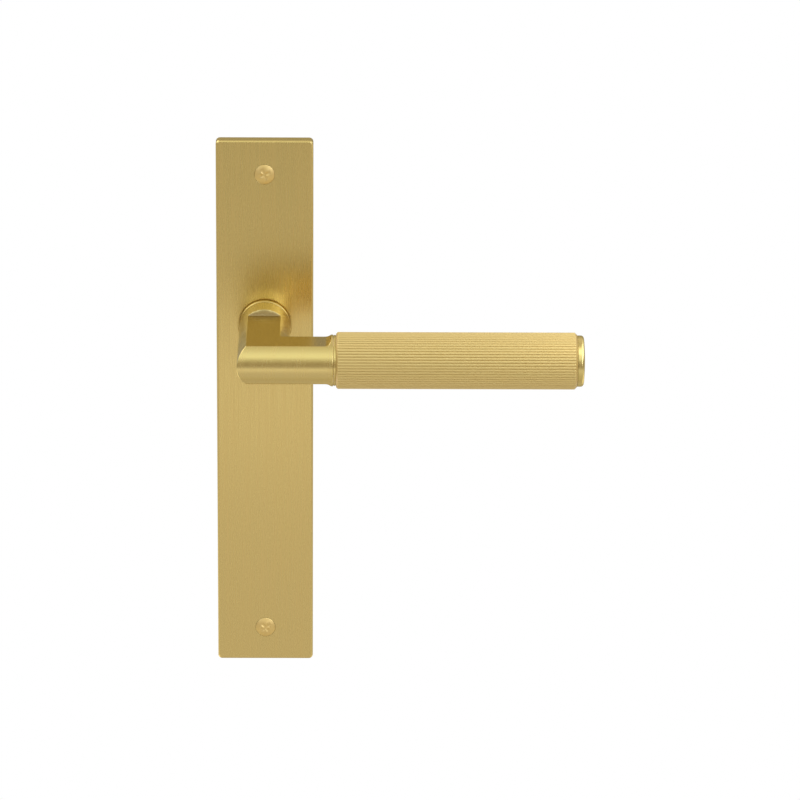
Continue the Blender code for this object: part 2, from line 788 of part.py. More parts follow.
def add_lever_pivot():
    """An empty on the spindle's axis carries everything that turns with the lever."""
    pivot = bpy.data.objects.new("lever_pivot", None)
    PARTS.objects.link(pivot)
    pivot.location = (0.0, -PLATE_THICKNESS, SPINDLE_HEIGHT)
    bpy.context.view_layer.update()
    for name in LEVER_NODES:
        item = bpy.data.objects[name]
        world = item.matrix_world.copy()
        item.parent = pivot
        item.matrix_parent_inverse = pivot.matrix_world.inverted()
        item.matrix_world = world


def build():
    make_backplate(satin_brass("plate_brass"))
    make_collar(satin_brass("collar_brass"))
    make_bearing(white_nylon("bearing_nylon"))
    make_pins(plain_steel("pin_steel"))
    make_return_spring(add_material("spring_steel", (0.30, 0.32, 0.36), 0.3, 1.0))
    make_cassette_cover(add_material("cover_zinc", (0.60, 0.61, 0.60), 0.45, 1.0))
    make_cover_screws(add_material("cover_screw_steel", (0.55, 0.54, 0.50), 0.35, 1.0))
    make_fixing_screws(add_material("screw_brass", (0.66, 0.47, 0.24), 0.42, 1.0))
    make_lever_neck(satin_brass("neck_brass"))
    make_grip_ends(satin_brass("trim_brass"))
    make_grip_sleeve(add_material("sleeve_brass", (0.66, 0.49, 0.24), 0.45, 1.0))
    make_tie_rod(plain_steel("rod_steel"))
    make_spindle(add_material("spindle_steel", (0.50, 0.50, 0.51), 0.4, 1.0))
    make_grub_screw(add_material("grub_steel", (0.08, 0.08, 0.09), 0.4, 1.0))
    make_spring_cam(plain_steel("cam_steel"))
    make_circlip(add_material("clip_steel", (0.12, 0.12, 0.13), 0.35, 1.0))
    add_lever_pivot()


build()
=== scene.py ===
import math

import bmesh
import bpy
import numpy as np
from mathutils import Matrix, Vector


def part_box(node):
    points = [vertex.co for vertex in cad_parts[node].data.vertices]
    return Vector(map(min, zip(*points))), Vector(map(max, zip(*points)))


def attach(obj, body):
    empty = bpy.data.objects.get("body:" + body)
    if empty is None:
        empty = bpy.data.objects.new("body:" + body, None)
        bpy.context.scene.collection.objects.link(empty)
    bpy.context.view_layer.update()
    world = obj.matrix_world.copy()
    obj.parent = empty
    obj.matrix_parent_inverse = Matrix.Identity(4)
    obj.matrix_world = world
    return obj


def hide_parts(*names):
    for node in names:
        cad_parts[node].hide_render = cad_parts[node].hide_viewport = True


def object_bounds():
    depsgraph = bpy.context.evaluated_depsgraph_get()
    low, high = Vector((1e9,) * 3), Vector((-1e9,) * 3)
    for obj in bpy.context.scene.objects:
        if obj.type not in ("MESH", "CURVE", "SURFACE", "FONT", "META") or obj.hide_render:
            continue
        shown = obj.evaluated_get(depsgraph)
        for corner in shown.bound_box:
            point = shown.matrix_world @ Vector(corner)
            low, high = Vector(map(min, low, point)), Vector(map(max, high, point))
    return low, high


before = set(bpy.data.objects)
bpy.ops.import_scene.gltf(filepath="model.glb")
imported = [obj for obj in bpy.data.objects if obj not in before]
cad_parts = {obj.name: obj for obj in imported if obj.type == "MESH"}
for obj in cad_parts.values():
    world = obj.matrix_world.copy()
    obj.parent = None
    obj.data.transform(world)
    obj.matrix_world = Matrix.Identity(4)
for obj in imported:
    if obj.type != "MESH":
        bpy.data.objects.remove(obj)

CAD_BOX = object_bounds()
SCENE = bpy.context.scene
SCENE.view_settings.view_transform = "Standard"
MM = 0.001
# Edges that turn by more than this many degrees stay sharp
SHARP_ANGLE = 38.0

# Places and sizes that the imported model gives


def centre_of(name):
    low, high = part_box(name)
    return (low + high) / 2


def stands_of(name):
    """How far in front of the door's face a node begins and ends."""
    low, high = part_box(name)
    return -high.y, -low.y


FRONT_VIEW = Matrix.Rotation(math.radians(90.0), 4, "X")
ALONG_LEVER = Matrix.Rotation(math.radians(90.0), 4, "Y")


def at_height(height):
    """A frame whose Z comes straight out of the door at a height."""
    return Matrix.Translation((0.0, 0.0, height)) @ FRONT_VIEW


PLATE_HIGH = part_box("backplate")[1]
PLATE_FRONT = stands_of("backplate")[1]
SPINDLE_Z = centre_of("neck_collar").z
LEVER_STAND = -centre_of("grip_sleeve").y
GRIP_LOW, GRIP_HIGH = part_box("grip_sleeve")
GRIP_START, GRIP_END = GRIP_LOW.x, GRIP_HIGH.x
GRIP_RADIUS = (GRIP_HIGH.z - GRIP_LOW.z) / 2
SPINDLE_AXIS = at_height(SPINDLE_Z)
LEVER_AXIS = Matrix.Translation((0.0, -LEVER_STAND, SPINDLE_Z)) @ ALONG_LEVER


# Node helpers


def node(tree, kind, inputs=None, **settings):
    """A shader node. An input is a number or colour, or another node's output to link."""
    made = tree.nodes.new("ShaderNode" + kind)
    for key, value in settings.items():
        setattr(made, key, value)
    for key, value in (inputs or {}).items():
        if isinstance(value, bpy.types.NodeSocket):
            tree.links.new(value, made.inputs[key])
        else:
            made.inputs[key].default_value = value
    return made


def maths(tree, operation, first, second=0.0, third=0.0):
    return node(tree, "Math", {0: first, 1: second, 2: third}, operation=operation).outputs[0]


def ramp(tree, factor, stops, mode="EASE"):
    made = node(tree, "ValToRGB", {"Fac": factor})
    made.color_ramp.interpolation = mode
    elements = made.color_ramp.elements
    while len(elements) < len(stops):
        elements.new(0.5)
    for element, (place, colour) in zip(elements, stops):
        element.position = place
        element.color = (*colour, 1.0)
    return made.outputs["Color"]


def mixed(tree, factor, first, second, blend="MIX"):
    made = node(tree, "Mix", data_type="RGBA", blend_type=blend)
    if isinstance(factor, float):
        made.inputs[0].default_value = factor
    else:
        tree.links.new(factor, made.inputs[0])
    for socket, value in zip((s for s in made.inputs if s.type == "RGBA"), (first, second)):
        if isinstance(value, tuple):
            socket.default_value = (*value, 1.0)
        else:
            tree.links.new(value, socket)
    return next(socket for socket in made.outputs if socket.type == "RGBA")


def spread(tree, value, low, high, out_low, out_high):
    """A value between low and high, carried over to the outer pair."""
    inputs = {"Value": value, "From Min": low, "From Max": high, "To Min": out_low, "To Max": out_high}
    return node(tree, "MapRange", inputs).outputs["Result"]


def slope(tree, value, zero_at, one_at):
    """0 at one value and 1 at the other, and held beyond them."""
    return spread(tree, value, zero_at, one_at, 0.0, 1.0)


def product(tree, first, *others):
    for other in others:
        first = maths(tree, "MULTIPLY", first, other)
    return first


def noise(tree, place, scale, detail, roughness=0.5):
    inputs = {"Vector": place, "Scale": scale, "Detail": detail, "Roughness": roughness}
    return node(tree, "TexNoise", inputs).outputs["Fac"]


def marked(tree, name):
    """How strongly a piece's own attribute marks each place, from 0 to 1."""
    return node(tree, "Attribute", attribute_name=name).outputs["Fac"]


# Materials

# Noise seldom leaves this band, so colour and roughness are spread over it
NOISE_LOW, NOISE_HIGH = 0.3, 0.7
GRAIN_SCALE = 4500.0
BROAD_SCALE = 720.0
FINE_SHARE, BROAD_SHARE = 0.55, 0.45
CLOUD_SCALE = 60.0
CLOUD_GAIN = 8.0
GRAIN_HEIGHT = 0.006 * MM
GRAIN_STRENGTH = 0.6
WARMTH = 0.02
SMOOTHER, ROUGHER = 0.04, 0.05
BRASS_EDGE = (0.75, 0.72, 0.55)


def tinted(colour, amount, warm=0.0):
    """A colour multiplied by amount, and made warmer by warm."""
    r, g, b = colour
    return (r * amount * (1 + warm), g * amount, b * amount * (1 - warm))


def new_material(name):
    material = bpy.data.materials.new(name)
    material.use_nodes = True
    tree = material.node_tree
    return material, tree, tree.nodes["Principled BSDF"], node(tree, "TexCoord").outputs["Object"]


def multiplied(tree, base, name, colour):
    """Base, multiplied by colour where the piece's attribute marks it."""
    if not colour:
        return base
    return mixed(tree, marked(tree, name), base, mixed(tree, 1.0, base, colour, "MULTIPLY"))


def metal(
    name, colour, roughness, depth=1.0, contrast=0.03, blotch=0.015, along=None,
    edge=BRASS_EDGE, metallic=1.0, turning=0.0, pale=None, dull_and_painted_shade=None,
):
    """Metal with a grain and faint broad blotches. The grain follows the piece's own grain
    attribute, or object coordinates scaled by along. Edge tints what is seen at a slant.
    Places marked as turning have a grain deeper by turning, and are multiplied by pale, a painted highlight
    that makes them brighter and paler.
    Places marked as dull are multiplied by dull, which darkens them; this is painted shade, and on the
    neck's flats also a duller finish."""
    material, tree, shader, place = new_material(name)
    if along:
        lines = node(tree, "Mapping", {"Vector": place, "Scale": along}).outputs["Vector"]
    else:
        lines = node(tree, "Attribute", attribute_name="grain").outputs["Vector"]
    fine = noise(tree, lines, GRAIN_SCALE, 3.0, 0.6)
    broad = noise(tree, lines, BROAD_SCALE, 2.0)
    cloud = noise(tree, place, CLOUD_SCALE, 4.0, 0.6)
    streaks = maths(tree, "MULTIPLY_ADD", broad, BROAD_SHARE, maths(tree, "MULTIPLY", fine, FINE_SHARE))
    off_middle = maths(tree, "SUBTRACT", cloud, 0.5)
    shade = maths(tree, "MULTIPLY_ADD", off_middle, blotch * CLOUD_GAIN, streaks)
    stops = [
        (NOISE_LOW, tinted(colour, 1 - contrast, WARMTH)),
        (0.5, colour),
        (NOISE_HIGH, tinted(colour, 1 + contrast, -WARMTH)),
    ]
    base = ramp(tree, shade, stops, "LINEAR")
    # Painted shade: marked places are darkened (the grip's grooves, and the flats near the wall's foot),
    # together with the flats' duller finish
    base = multiplied(tree, base, "dull_and_painted_shade", dull_and_painted_shade)
    # Painted highlight: places marked as turning are made brighter and paler by pale
    base = multiplied(tree, base, "turning", pale)
    tree.links.new(base, shader.inputs["Base Color"])
    rough = spread(tree, shade, NOISE_LOW, NOISE_HIGH, roughness + ROUGHER, roughness - SMOOTHER)
    tree.links.new(rough, shader.inputs["Roughness"])
    shader.inputs["Metallic"].default_value = metallic
    shader.inputs["Specular Tint"].default_value = (*edge, 1.0)
    height = streaks
    if turning:
        deeper = maths(tree, "MULTIPLY_ADD", marked(tree, "turning"), turning, 1.0)
        height = maths(tree, "MULTIPLY", streaks, deeper)
    inputs = {"Height": height, "Strength": GRAIN_STRENGTH, "Distance": GRAIN_HEIGHT * depth}
    bump = node(tree, "Bump", inputs)
    tree.links.new(bump.outputs["Normal"], shader.inputs["Normal"])
    return material


NYLON_SPECK_SCALE = 5200.0
NYLON_CLOUD_SCALE = 240.0
NYLON_ROUGHNESS = (0.48, 0.62)
NYLON_DEPTH = 0.01 * MM


def nylon(name, colour):
    """Moulded nylon with a fine matt texture."""
    material, tree, shader, place = new_material(name)
    speck = noise(tree, place, NYLON_SPECK_SCALE, 2.0)
    cloud = noise(tree, place, NYLON_CLOUD_SCALE, 3.0)
    stops = [(NOISE_LOW, tinted(colour, 0.93, 0.02)), (NOISE_HIGH, colour)]
    tree.links.new(ramp(tree, cloud, stops), shader.inputs["Base Color"])
    rough = spread(tree, speck, NOISE_LOW, NOISE_HIGH, *NYLON_ROUGHNESS)
    tree.links.new(rough, shader.inputs["Roughness"])
    shader.inputs["Subsurface Weight"].default_value = 0.05
    bump = node(tree, "Bump", {"Height": speck, "Strength": 0.5, "Distance": NYLON_DEPTH})
    tree.links.new(bump.outputs["Normal"], shader.inputs["Normal"])
    return material


# Meshes

# Size of the grain's turn round a piece, and the share of the way along it that counts
ROUND_GRAIN = (0.5 * MM, 1.0)
LENGTHWISE_GRAIN = (12.0 * MM, 0.03)
STRAIGHT_GRAIN = 0.02


def clamped(value):
    return min(1.0, max(0.0, value))


def smooth(value):
    """0 to 1 with a soft start and end."""
    return value * value * (3 - 2 * value)


def turn_angles(count):
    return np.linspace(0.0, 2 * math.pi, count, endpoint=False)


def ring(radius, angle, height):
    """A loop of points about local Z, at angles. The radius may differ from angle to angle."""
    return np.stack([radius * np.cos(angle), radius * np.sin(angle), np.full_like(angle, height)], axis=1)


def rounded(points, radius, steps=5, closed=False):
    """Rounds the corners of a line of points. radius is one number, or one for each point."""
    count = len(points)
    radii = [radius] * count if isinstance(radius, (int, float)) else list(radius)
    made = []
    for i, point in enumerate(points):
        corner = np.array(point, float)
        back = np.array(points[i - 1], float) - corner
        ahead = np.array(points[(i + 1) % count], float) - corner
        if radii[i] == 0 or (not closed and i in (0, count - 1)):
            made.append(tuple(corner))
            continue
        lengths = np.linalg.norm(back), np.linalg.norm(ahead)
        back, ahead = back / lengths[0], ahead / lengths[1]
        half = math.acos(max(-1.0, min(1.0, float(back @ ahead)))) / 2
        if half > math.pi / 2 - 0.01:
            made.append(tuple(corner))
            continue
        cut = min(radii[i] / math.tan(half), 0.49 * min(lengths))
        size = cut * math.tan(half)
        middle = back + ahead
        centre = corner + middle / np.linalg.norm(middle) * size / math.sin(half)
        arm = corner + back * cut - centre
        turn = math.pi - 2 * half
        side = 1.0 if back[0] * ahead[1] - back[1] * ahead[0] < 0 else -1.0
        for step in range(steps + 1):
            angle = side * turn * step / steps
            c, s = math.cos(angle), math.sin(angle)
            made.append((centre[0] + arm[0] * c - arm[1] * s, centre[1] + arm[0] * s + arm[1] * c))
    return made


def set_grain(mesh, values):
    layer = mesh.attributes.new("grain", "FLOAT_VECTOR", "POINT")
    layer.data.foreach_set("vector", np.asarray(values, np.float32).ravel())


def outward(mesh):
    shape = bmesh.new()
    shape.from_mesh(mesh)
    bmesh.ops.recalc_face_normals(shape, faces=shape.faces)
    shape.to_mesh(mesh)
    shape.free()


def add_piece(name, mesh, matrix, sharp=SHARP_ANGLE):
    mesh.transform(matrix)
    outward(mesh)
    mesh.shade_smooth()
    mesh.set_sharp_from_angle(angle=math.radians(sharp))
    item = bpy.data.objects.new(name, mesh)
    SCENE.collection.objects.link(item)
    return item


def loft(name, loops, matrix, ends=(None, None), closed=False, sharp=SHARP_ANGLE, lengthwise=False):
    """Joins loops of equal length in order, with a fan on the first and last, or first to last.
    The grain runs round the piece, or from end to end when it is lengthwise."""
    loops = [np.asarray(loop, float) for loop in loops]
    count, rows = len(loops[0]), len(loops)
    steps = [0.0] + [float(np.linalg.norm(b - a, axis=1).mean()) for a, b in zip(loops, loops[1:])]
    across = np.cumsum(steps)
    turn = turn_angles(count)
    size, share = LENGTHWISE_GRAIN if lengthwise else ROUND_GRAIN
    round_grain = np.stack([np.zeros(count), np.cos(turn) * size, np.sin(turn) * size], axis=1)
    points = np.concatenate(loops)
    grain = np.concatenate([round_grain + (value * share, 0.0, 0.0) for value in across])
    i = np.arange(count)
    j = (i + 1) % count
    faces = []
    for row in range(rows if closed else rows - 1):
        a, b = row * count, (row + 1) % rows * count
        faces += np.stack([a + i, a + j, b + j, b + i], axis=1).tolist()
    if not closed:
        for loop, end, row, way in ((loops[0], ends[0], 0, -1.0), (loops[-1], ends[1], rows - 1, 1.0)):
            tip = loop.mean(axis=0) if end is None else np.array(end, float)
            spoke = float(np.linalg.norm(loop - tip, axis=1).mean())
            base = row * count
            faces += [(base + p, base + q, len(points)) for p, q in zip(i.tolist(), j.tolist())]
            points = np.concatenate([points, [tip]])
            grain = np.concatenate([grain, [((across[row] + way * spoke) * share, 0.0, 0.0)]])
    mesh = bpy.data.meshes.new(name)
    mesh.from_pydata(points.tolist(), [], faces)
    set_grain(mesh, grain)
    return add_piece(name, mesh, matrix, sharp)
def circle(radius, height, count=128):
    return ring(radius, turn_angles(count), height)


def lathe(name, profile, matrix, count=128, closed=False):
    """A profile of (radius, height) pairs turned about local Z. A radius of 0 is a pole."""
    ends = [None, None]
    for which, place in ((0, 0), (1, -1)):
        if not closed and profile[place][0] < 1e-9:
            ends[which] = (0.0, 0.0, profile[place][1])
    loops = [circle(radius, height, count) for radius, height in profile if radius > 1e-9]
    return loft(name, loops, matrix, ends, closed)


class Shell:
    """A closed plate with holes: loops of points at heights, walls between loops, and flat fills."""

    def __init__(self):
        self.shape = bmesh.new()

    def loop(self, points, height):
        return [self.shape.verts.new((x, y, height)) for x, y in points]

    def wall(self, *loops):
        for a, b in zip(loops, loops[1:]):
            for i in range(len(a)):
                j = (i + 1) % len(a)
                self.shape.faces.new((a[i], a[j], b[j], b[i]))

    def fill(self, *loops):
        edges = []
        for loop in loops:
            for i, vert in enumerate(loop):
                pair = (vert, loop[(i + 1) % len(loop)])
                edges.append(self.shape.edges.get(pair) or self.shape.edges.new(pair))
        bmesh.ops.triangle_fill(self.shape, edges=edges, use_beauty=True, use_dissolve=False)

    def hole(self, centre, profile, count=64):
        """Walls round a hole, from (radius, height) pairs. Returns its first and last loop."""
        loops = []
        for radius, height in profile:
            points = circle(radius, height, count)[:, :2] + centre
            loops.append(self.loop(points, height))
        self.wall(*loops)
        return loops[0], loops[-1]

    def piece(self, name, matrix):
        mesh = bpy.data.meshes.new(name)
        self.shape.to_mesh(mesh)
        self.shape.free()
        x, y, z = np.array([vert.co for vert in mesh.vertices]).T
        set_grain(mesh, np.stack([x + z, y * STRAIGHT_GRAIN, z * STRAIGHT_GRAIN], axis=1))
        return add_piece(name, mesh, matrix)


def rounded_rectangle(half_width, half_height, radius, inset=0.0, steps=10):
    points = []
    for corner, (sx, sy) in enumerate(((1, 1), (-1, 1), (-1, -1), (1, -1))):
        cx, cy = sx * (half_width - radius), sy * (half_height - radius)
        for step in range(steps + 1):
            angle = math.radians(90.0 * corner + 90.0 * step / steps)
            size = radius - inset
            points.append((cx + size * math.cos(angle), cy + size * math.sin(angle)))
    return points


def apply_modifiers(item):
    graph = bpy.context.evaluated_depsgraph_get()
    mesh = bpy.data.meshes.new_from_object(item.evaluated_get(graph))
    item.modifiers.clear()
    item.data = mesh


def cut_away(item, cutter):
    modifier = item.modifiers.new("cut", "BOOLEAN")
    modifier.solver = "EXACT"
    modifier.operation = "DIFFERENCE"
    modifier.object = cutter
    apply_modifiers(item)
    bpy.data.objects.remove(cutter, do_unlink=True)
    item.data.shade_smooth()
    item.data.set_sharp_from_angle(angle=math.radians(SHARP_ANGLE))


def register(item, body, material, slot, *nodes):
    """Gives a piece its material, says what it rides on, and hides the imported nodes that it stands for.
    """
    item.data.materials.clear()
    item.data.materials.append(material)
    normals = item.modifiers.new("normals", "WEIGHTED_NORMAL")
    normals.keep_sharp = True
    normals.weight = 60
    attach(item, body)
    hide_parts(*nodes)
    return item


# Backplate

PLATE_CORNER = 1.8 * MM
PLATE_EDGE = 0.9 * MM
PLATE_BACK_EDGE = 0.15 * MM
PLATE_EDGE_STEPS = 8
SEAT_RADIUS = 11.7 * MM
SEAT_STAND = 4.8 * MM
HUB_HOLE = 9.8 * MM
POCKET_RADIUS = 16.8 * MM
POCKET_CEILING = 4.6 * MM
PIN_HOLE_STAND = 5.25 * MM
PIN_GAP = 0.05 * MM
COVER_RECESS = 1.2 * MM
COVER_GAP = 0.15 * MM
COVER_SCREW_HOLE = 1.45 * MM
COVER_SCREW_STAND = 4.1 * MM
COVER_RADIUS = 17.8 * MM
COVER_EAR_RADIUS = 5.2 * MM
COVER_EAR_HEIGHT = 21.0 * MM

# Holes as (radius, stand) pairs, from the front to the back
SCREW_HOLE = [
    (4.50 * MM, PLATE_FRONT),
    (4.43 * MM, PLATE_FRONT - 0.03 * MM),
    (4.40 * MM, PLATE_FRONT - 0.12 * MM),
    (2.3 * MM, PLATE_FRONT - 2.25 * MM),
    (2.3 * MM, 0.2 * MM),
    (2.5 * MM, 0.0),
]
SEAT_HOLE = [
    (SEAT_RADIUS + 0.12 * MM, PLATE_FRONT),
    (SEAT_RADIUS + 0.03 * MM, PLATE_FRONT - 0.04 * MM),
    (SEAT_RADIUS, PLATE_FRONT - 0.13 * MM),
    (SEAT_RADIUS, SEAT_STAND),
    (HUB_HOLE, SEAT_STAND),
    (HUB_HOLE, POCKET_CEILING),
]


def arc(radius, start, end, count, centre=(0.0, 0.0)):
    angles = [math.radians(start + (end - start) * k / count) for k in range(count + 1)]
    return [(centre[0] + radius * math.cos(a), centre[1] + radius * math.sin(a)) for a in angles]


def cover_outline(gap):
    """A disc with an ear above and an ear below, grown by gap."""
    disc, ear = COVER_RADIUS + gap, COVER_EAR_RADIUS + gap
    meet = math.degrees(math.acos(ear / disc))
    return (
        arc(disc, -meet, meet, 40)
        + arc(ear, 0.0, 180.0, 24, (0.0, COVER_EAR_HEIGHT))
        + arc(disc, 180.0 - meet, 180.0 + meet, 40)
        + arc(ear, 180.0, 360.0, 24, (0.0, -COVER_EAR_HEIGHT))
    )


def plate_wall(shell):
    """The plate's outer wall, from its softened front edge. Returns its first and last loop."""
    def outline(inset=0.0):
        return rounded_rectangle(PLATE_HIGH.x, PLATE_HIGH.z, PLATE_CORNER, inset)

    loops = []
    for step in range(PLATE_EDGE_STEPS + 1):
        angle = math.radians(90.0 * step / PLATE_EDGE_STEPS)
        height = PLATE_FRONT - PLATE_EDGE * (1 - math.cos(angle))
        loops.append(shell.loop(outline(PLATE_EDGE * (1 - math.sin(angle))), height))
    loops.append(shell.loop(outline(), PLATE_BACK_EDGE))
    loops.append(shell.loop(outline(PLATE_BACK_EDGE), 0.0))
    shell.wall(*loops)
    return loops[0], loops[-1]


def blind_hole(shell, centre, radius, opening, bottom):
    """A flat-bottomed hole in from the back. Returns the loop round its opening."""
    edge, floor = shell.hole((centre.x, centre.z), [(radius, opening), (radius, bottom)], 32)
    shell.fill(floor)
    return edge


def make_backplate(material):
    shell = Shell()
    front, back = plate_wall(shell)
    fronts, backs = [front], [back]
    for name in ("fixing_screw_upper", "fixing_screw_lower"):
        front, back = shell.hole((0.0, centre_of(name).z), SCREW_HOLE)
        fronts.append(front)
        backs.append(back)
    axis = (0.0, SPINDLE_Z)
    seat, ceiling_hole = shell.hole(axis, SEAT_HOLE, 128)
    shell.fill(*fronts, seat)
    pocket = [(POCKET_RADIUS, POCKET_CEILING), (POCKET_RADIUS, COVER_RECESS)]
    rim, recess_hole = shell.hole(axis, pocket, 96)
    ceilings = [rim, ceiling_hole]
    for name in ("rest_stop_pin", "end_stop_pin", "spring_anchor_pin"):
        low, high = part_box(name)
        radius = (high.x - low.x) / 2 + PIN_GAP
        ceilings.append(blind_hole(shell, centre_of(name), radius, POCKET_CEILING, PIN_HOLE_STAND))
    shell.fill(*ceilings)
    outline = [(x, y + SPINDLE_Z) for x, y in cover_outline(COVER_GAP)]
    inner, outer = shell.loop(outline, COVER_RECESS), shell.loop(outline, 0.0)
    shell.wall(inner, outer)
    floors = [inner, recess_hole]
    for name in ("cover_screw_upper", "cover_screw_lower"):
        centre = centre_of(name)
        floors.append(blind_hole(shell, centre, COVER_SCREW_HOLE, COVER_RECESS, COVER_SCREW_STAND))
    shell.fill(*floors)
    shell.fill(*backs, outer)
    item = shell.piece("backplate_brushed", FRONT_VIEW)
    return register(item, "backplate_body", material, "plate_brass", "backplate")


# Lever

BAR_RADIUS = 11.0 * MM
NECK_BACK = 8.3 * MM
NECK_EDGE = 0.3 * MM
BAR_END = 29.8 * MM
BAR_END_EDGE = 0.35 * MM
FLAT = 8.4 * MM
FLAT_END = 28.9 * MM
FLAT_EDGE = 0.14 * MM
WALL_TOP = (19.75 * MM, 11.1 * MM)
WALL_FOOT = (20.4 * MM, 8.4 * MM)
WALL_FILLET = 0.3 * MM
GRIP_RUNOUT = 2.6 * MM
TAIL_RADIUS, TAIL_FLAT = 7.0 * MM, 5.8 * MM
SOCKET_HALF = 4.15 * MM
CORNER_STAND = 40.0 * MM
OUTER_BEND, EXTRA_BEND = 0.22 * MM, 0.9 * MM
BEND_STEPS = 10
ARM_START = 16.0 * MM
GRUB_STAND = 14.5 * MM
ANGLE_STEP, LEAST_STEP = 2.5, 0.35

# Loops in millimetres: (growth, stand), (radius, stand), (radius, stand) and (radius, x)
SOCKET_LOOPS = ((0.0, 36.5), (0.0, 1.55), (0.2, 1.3))
TAIL_LOOPS = ((6.85, 1.3), (7.0, 1.42), (7.0, 1.7), (6.3, 1.7), (6.3, 2.9), (7.0, 2.9), (7.0, 4.0))
JOURNAL_LOOPS = ((7.0, 4.02), (7.0, 8.1), (7.15, 8.3))
SPIGOT_LOOPS = ((6.2, 29.8), (6.0, 30.0), (6.0, 37.2), (5.7, 37.5), (3.3, 37.5), (3.2, 37.4), (3.2, 15.5))
# The grub screw's hole: (radius, depth) pairs in millimetres
GRUB_HOLE = ((0.0, 0.0), (2.5, 0.0), (2.5, 10.35), (2.95, 10.85), (2.95, 13.0), (0.0, 13.0))


def neck_angles():
    """Angles round the bar, closer together where a flat begins, with the tail's edges."""
    edge = math.degrees(math.asin(FLAT / BAR_RADIUS))
    found = set(np.round(np.arange(0.0, 360.0, ANGLE_STEP), 4))
    for mark in (edge, 180.0 - edge, 180.0 + edge, 360.0 - edge):
        found |= {round(mark + step, 4) for step in (-1.2, -0.6, 0.0, 0.6, 1.2)}
    tail = round(math.degrees(math.acos(TAIL_FLAT / TAIL_RADIUS)), 2)
    found |= {tail, 180.0 - tail, 180.0 + tail, 360.0 - tail}
    kept = []
    for angle in sorted(found):
        if not kept or angle - kept[-1] > LEAST_STEP:
            kept.append(angle)
    return np.radians(np.array(kept))


def soft_min(a, b, width):
    near = np.maximum(width - np.abs(a - b), 0.0) / width
    return np.minimum(a, b) - near * near * width / 4


def flatted(height, limit):
    """Heights above the axis, held inside plus and minus limit with a slightly broken edge."""
    return np.sign(height) * soft_min(np.abs(height), np.full_like(height, limit), FLAT_EDGE)


def neck_limits():
    """Stands, and how far from the axis the neck may reach there: a leaning wall, then the flat."""
    line = [WALL_TOP, WALL_FOOT, (WALL_FOOT[0] + 3 * MM, WALL_FOOT[1])]
    made = [WALL_TOP]
    for part in (0.25, 0.5, 0.7):
        made.append(tuple(a + (b - a) * part for a, b in zip(WALL_TOP, WALL_FOOT)))
    return made + rounded(line, WALL_FILLET, 7)[1:-1]


def grip_limit(x):
    into = max(0.0, x - (FLAT_END - GRIP_RUNOUT))
    if into >= GRIP_RUNOUT:
        return 1.0
    return FLAT + GRIP_RUNOUT - math.sqrt(GRIP_RUNOUT**2 - into**2)


class Bar:
    """Loops round the lever's bar, in order from the square socket to the rod's bore."""

    def __init__(self):
        self.angle = neck_angles()
        self.cos, self.sin = np.cos(self.angle), np.sin(self.angle)
        self.side, self.up = BAR_RADIUS * self.cos, BAR_RADIUS * self.sin
        self.held = flatted(self.up, FLAT)
        self.loops = []

    def add(self, x, y, stand):
        ones = np.ones_like(self.angle)
        self.loops.append(np.stack([x * ones, y * ones, stand * ones], axis=1))

    def round_neck(self, radius, stand):
        self.add(radius * self.cos, radius * self.sin, stand)

    def round_arm(self, radius, x):
        size = radius / BAR_RADIUS
        self.add(x, self.up * size, LEVER_STAND - self.side * size)


def add_tail(bar):
    """The square socket, the flatted tail with its circlip groove, and the journal."""
    square = SOCKET_HALF / np.maximum(np.abs(bar.cos), np.abs(bar.sin))
    for growth, stand in SOCKET_LOOPS:
        bar.round_neck(square + growth * MM, stand * MM)
    for radius, stand in TAIL_LOOPS:
        x, y = radius * MM * bar.cos, radius * MM * bar.sin
        bar.add(np.clip(x, -TAIL_FLAT, TAIL_FLAT), y, stand * MM)
    for radius, stand in JOURNAL_LOOPS:
        bar.round_neck(radius * MM, stand * MM)


def add_neck(bar):
    """The round foot with its softened edge, the leaning wall, and the milled flats."""
    for part in (0.0, 0.3, 0.6, 0.85, 1.0):
        bend = math.radians(90.0 * part)
        radius = BAR_RADIUS - NECK_EDGE * (1 - math.sin(bend))
        bar.round_neck(radius, NECK_BACK + NECK_EDGE * (1 - math.cos(bend)))
    for stand in (9.5, 12.0, 15.0, 18.0, 19.65):
        bar.round_neck(BAR_RADIUS, stand * MM)
    for stand, limit in neck_limits():
        bar.add(bar.side, flatted(bar.up, limit), stand)
    for stand in (23.0, 26.0, 30.0, 35.0):
        bar.add(bar.side, bar.held, stand * MM)
    bar.add(bar.side, bar.held, CORNER_STAND)


def add_corner(bar):
    """The mitred turn into the arm, almost sharp outside and rounder inside."""
    inside = smooth(np.clip((bar.cos + 0.3) / 0.9, 0.0, 1.0))
    bend = OUTER_BEND + EXTRA_BEND * inside
    start, end = LEVER_STAND - bar.side - bend, bar.side + bend
    for part in (0.3, 0.6, 0.85):
        bar.add(bar.side, bar.held, CORNER_STAND + (start - CORNER_STAND) * part)
    for step in range(BEND_STEPS + 1):
        a = math.radians(90.0 * step / BEND_STEPS)
        bar.add(bar.side + bend * (1 - math.cos(a)), bar.held, start + bend * math.sin(a))
    for part in (0.2, 0.5, 0.8):
        bar.add(end + (ARM_START - end) * part, bar.held, LEVER_STAND - bar.side)


def add_arm(bar):
    """The arm with its flats running out, its softened end, the grip's spigot and the bore."""
    runout = FLAT_END - GRIP_RUNOUT
    places = [ARM_START, 20.0 * MM, 24.0 * MM, runout]
    places += [runout + GRIP_RUNOUT * math.sin(math.radians(a)) for a in (*range(8, 81, 8), 86)]
    places += [28.92 * MM, 29.2 * MM]
    for x in places:
        bar.add(x, flatted(bar.up, grip_limit(x)), LEVER_STAND - bar.side)
    for part in (0.0, 0.35, 0.7, 1.0):
        bend = math.radians(90.0 * part)
        radius = BAR_RADIUS - BAR_END_EDGE * (1 - math.cos(bend))
        bar.round_arm(radius, BAR_END - BAR_END_EDGE * (1 - math.sin(bend)))
    for radius, x in SPIGOT_LOOPS:
        bar.round_arm(radius * MM, x * MM)


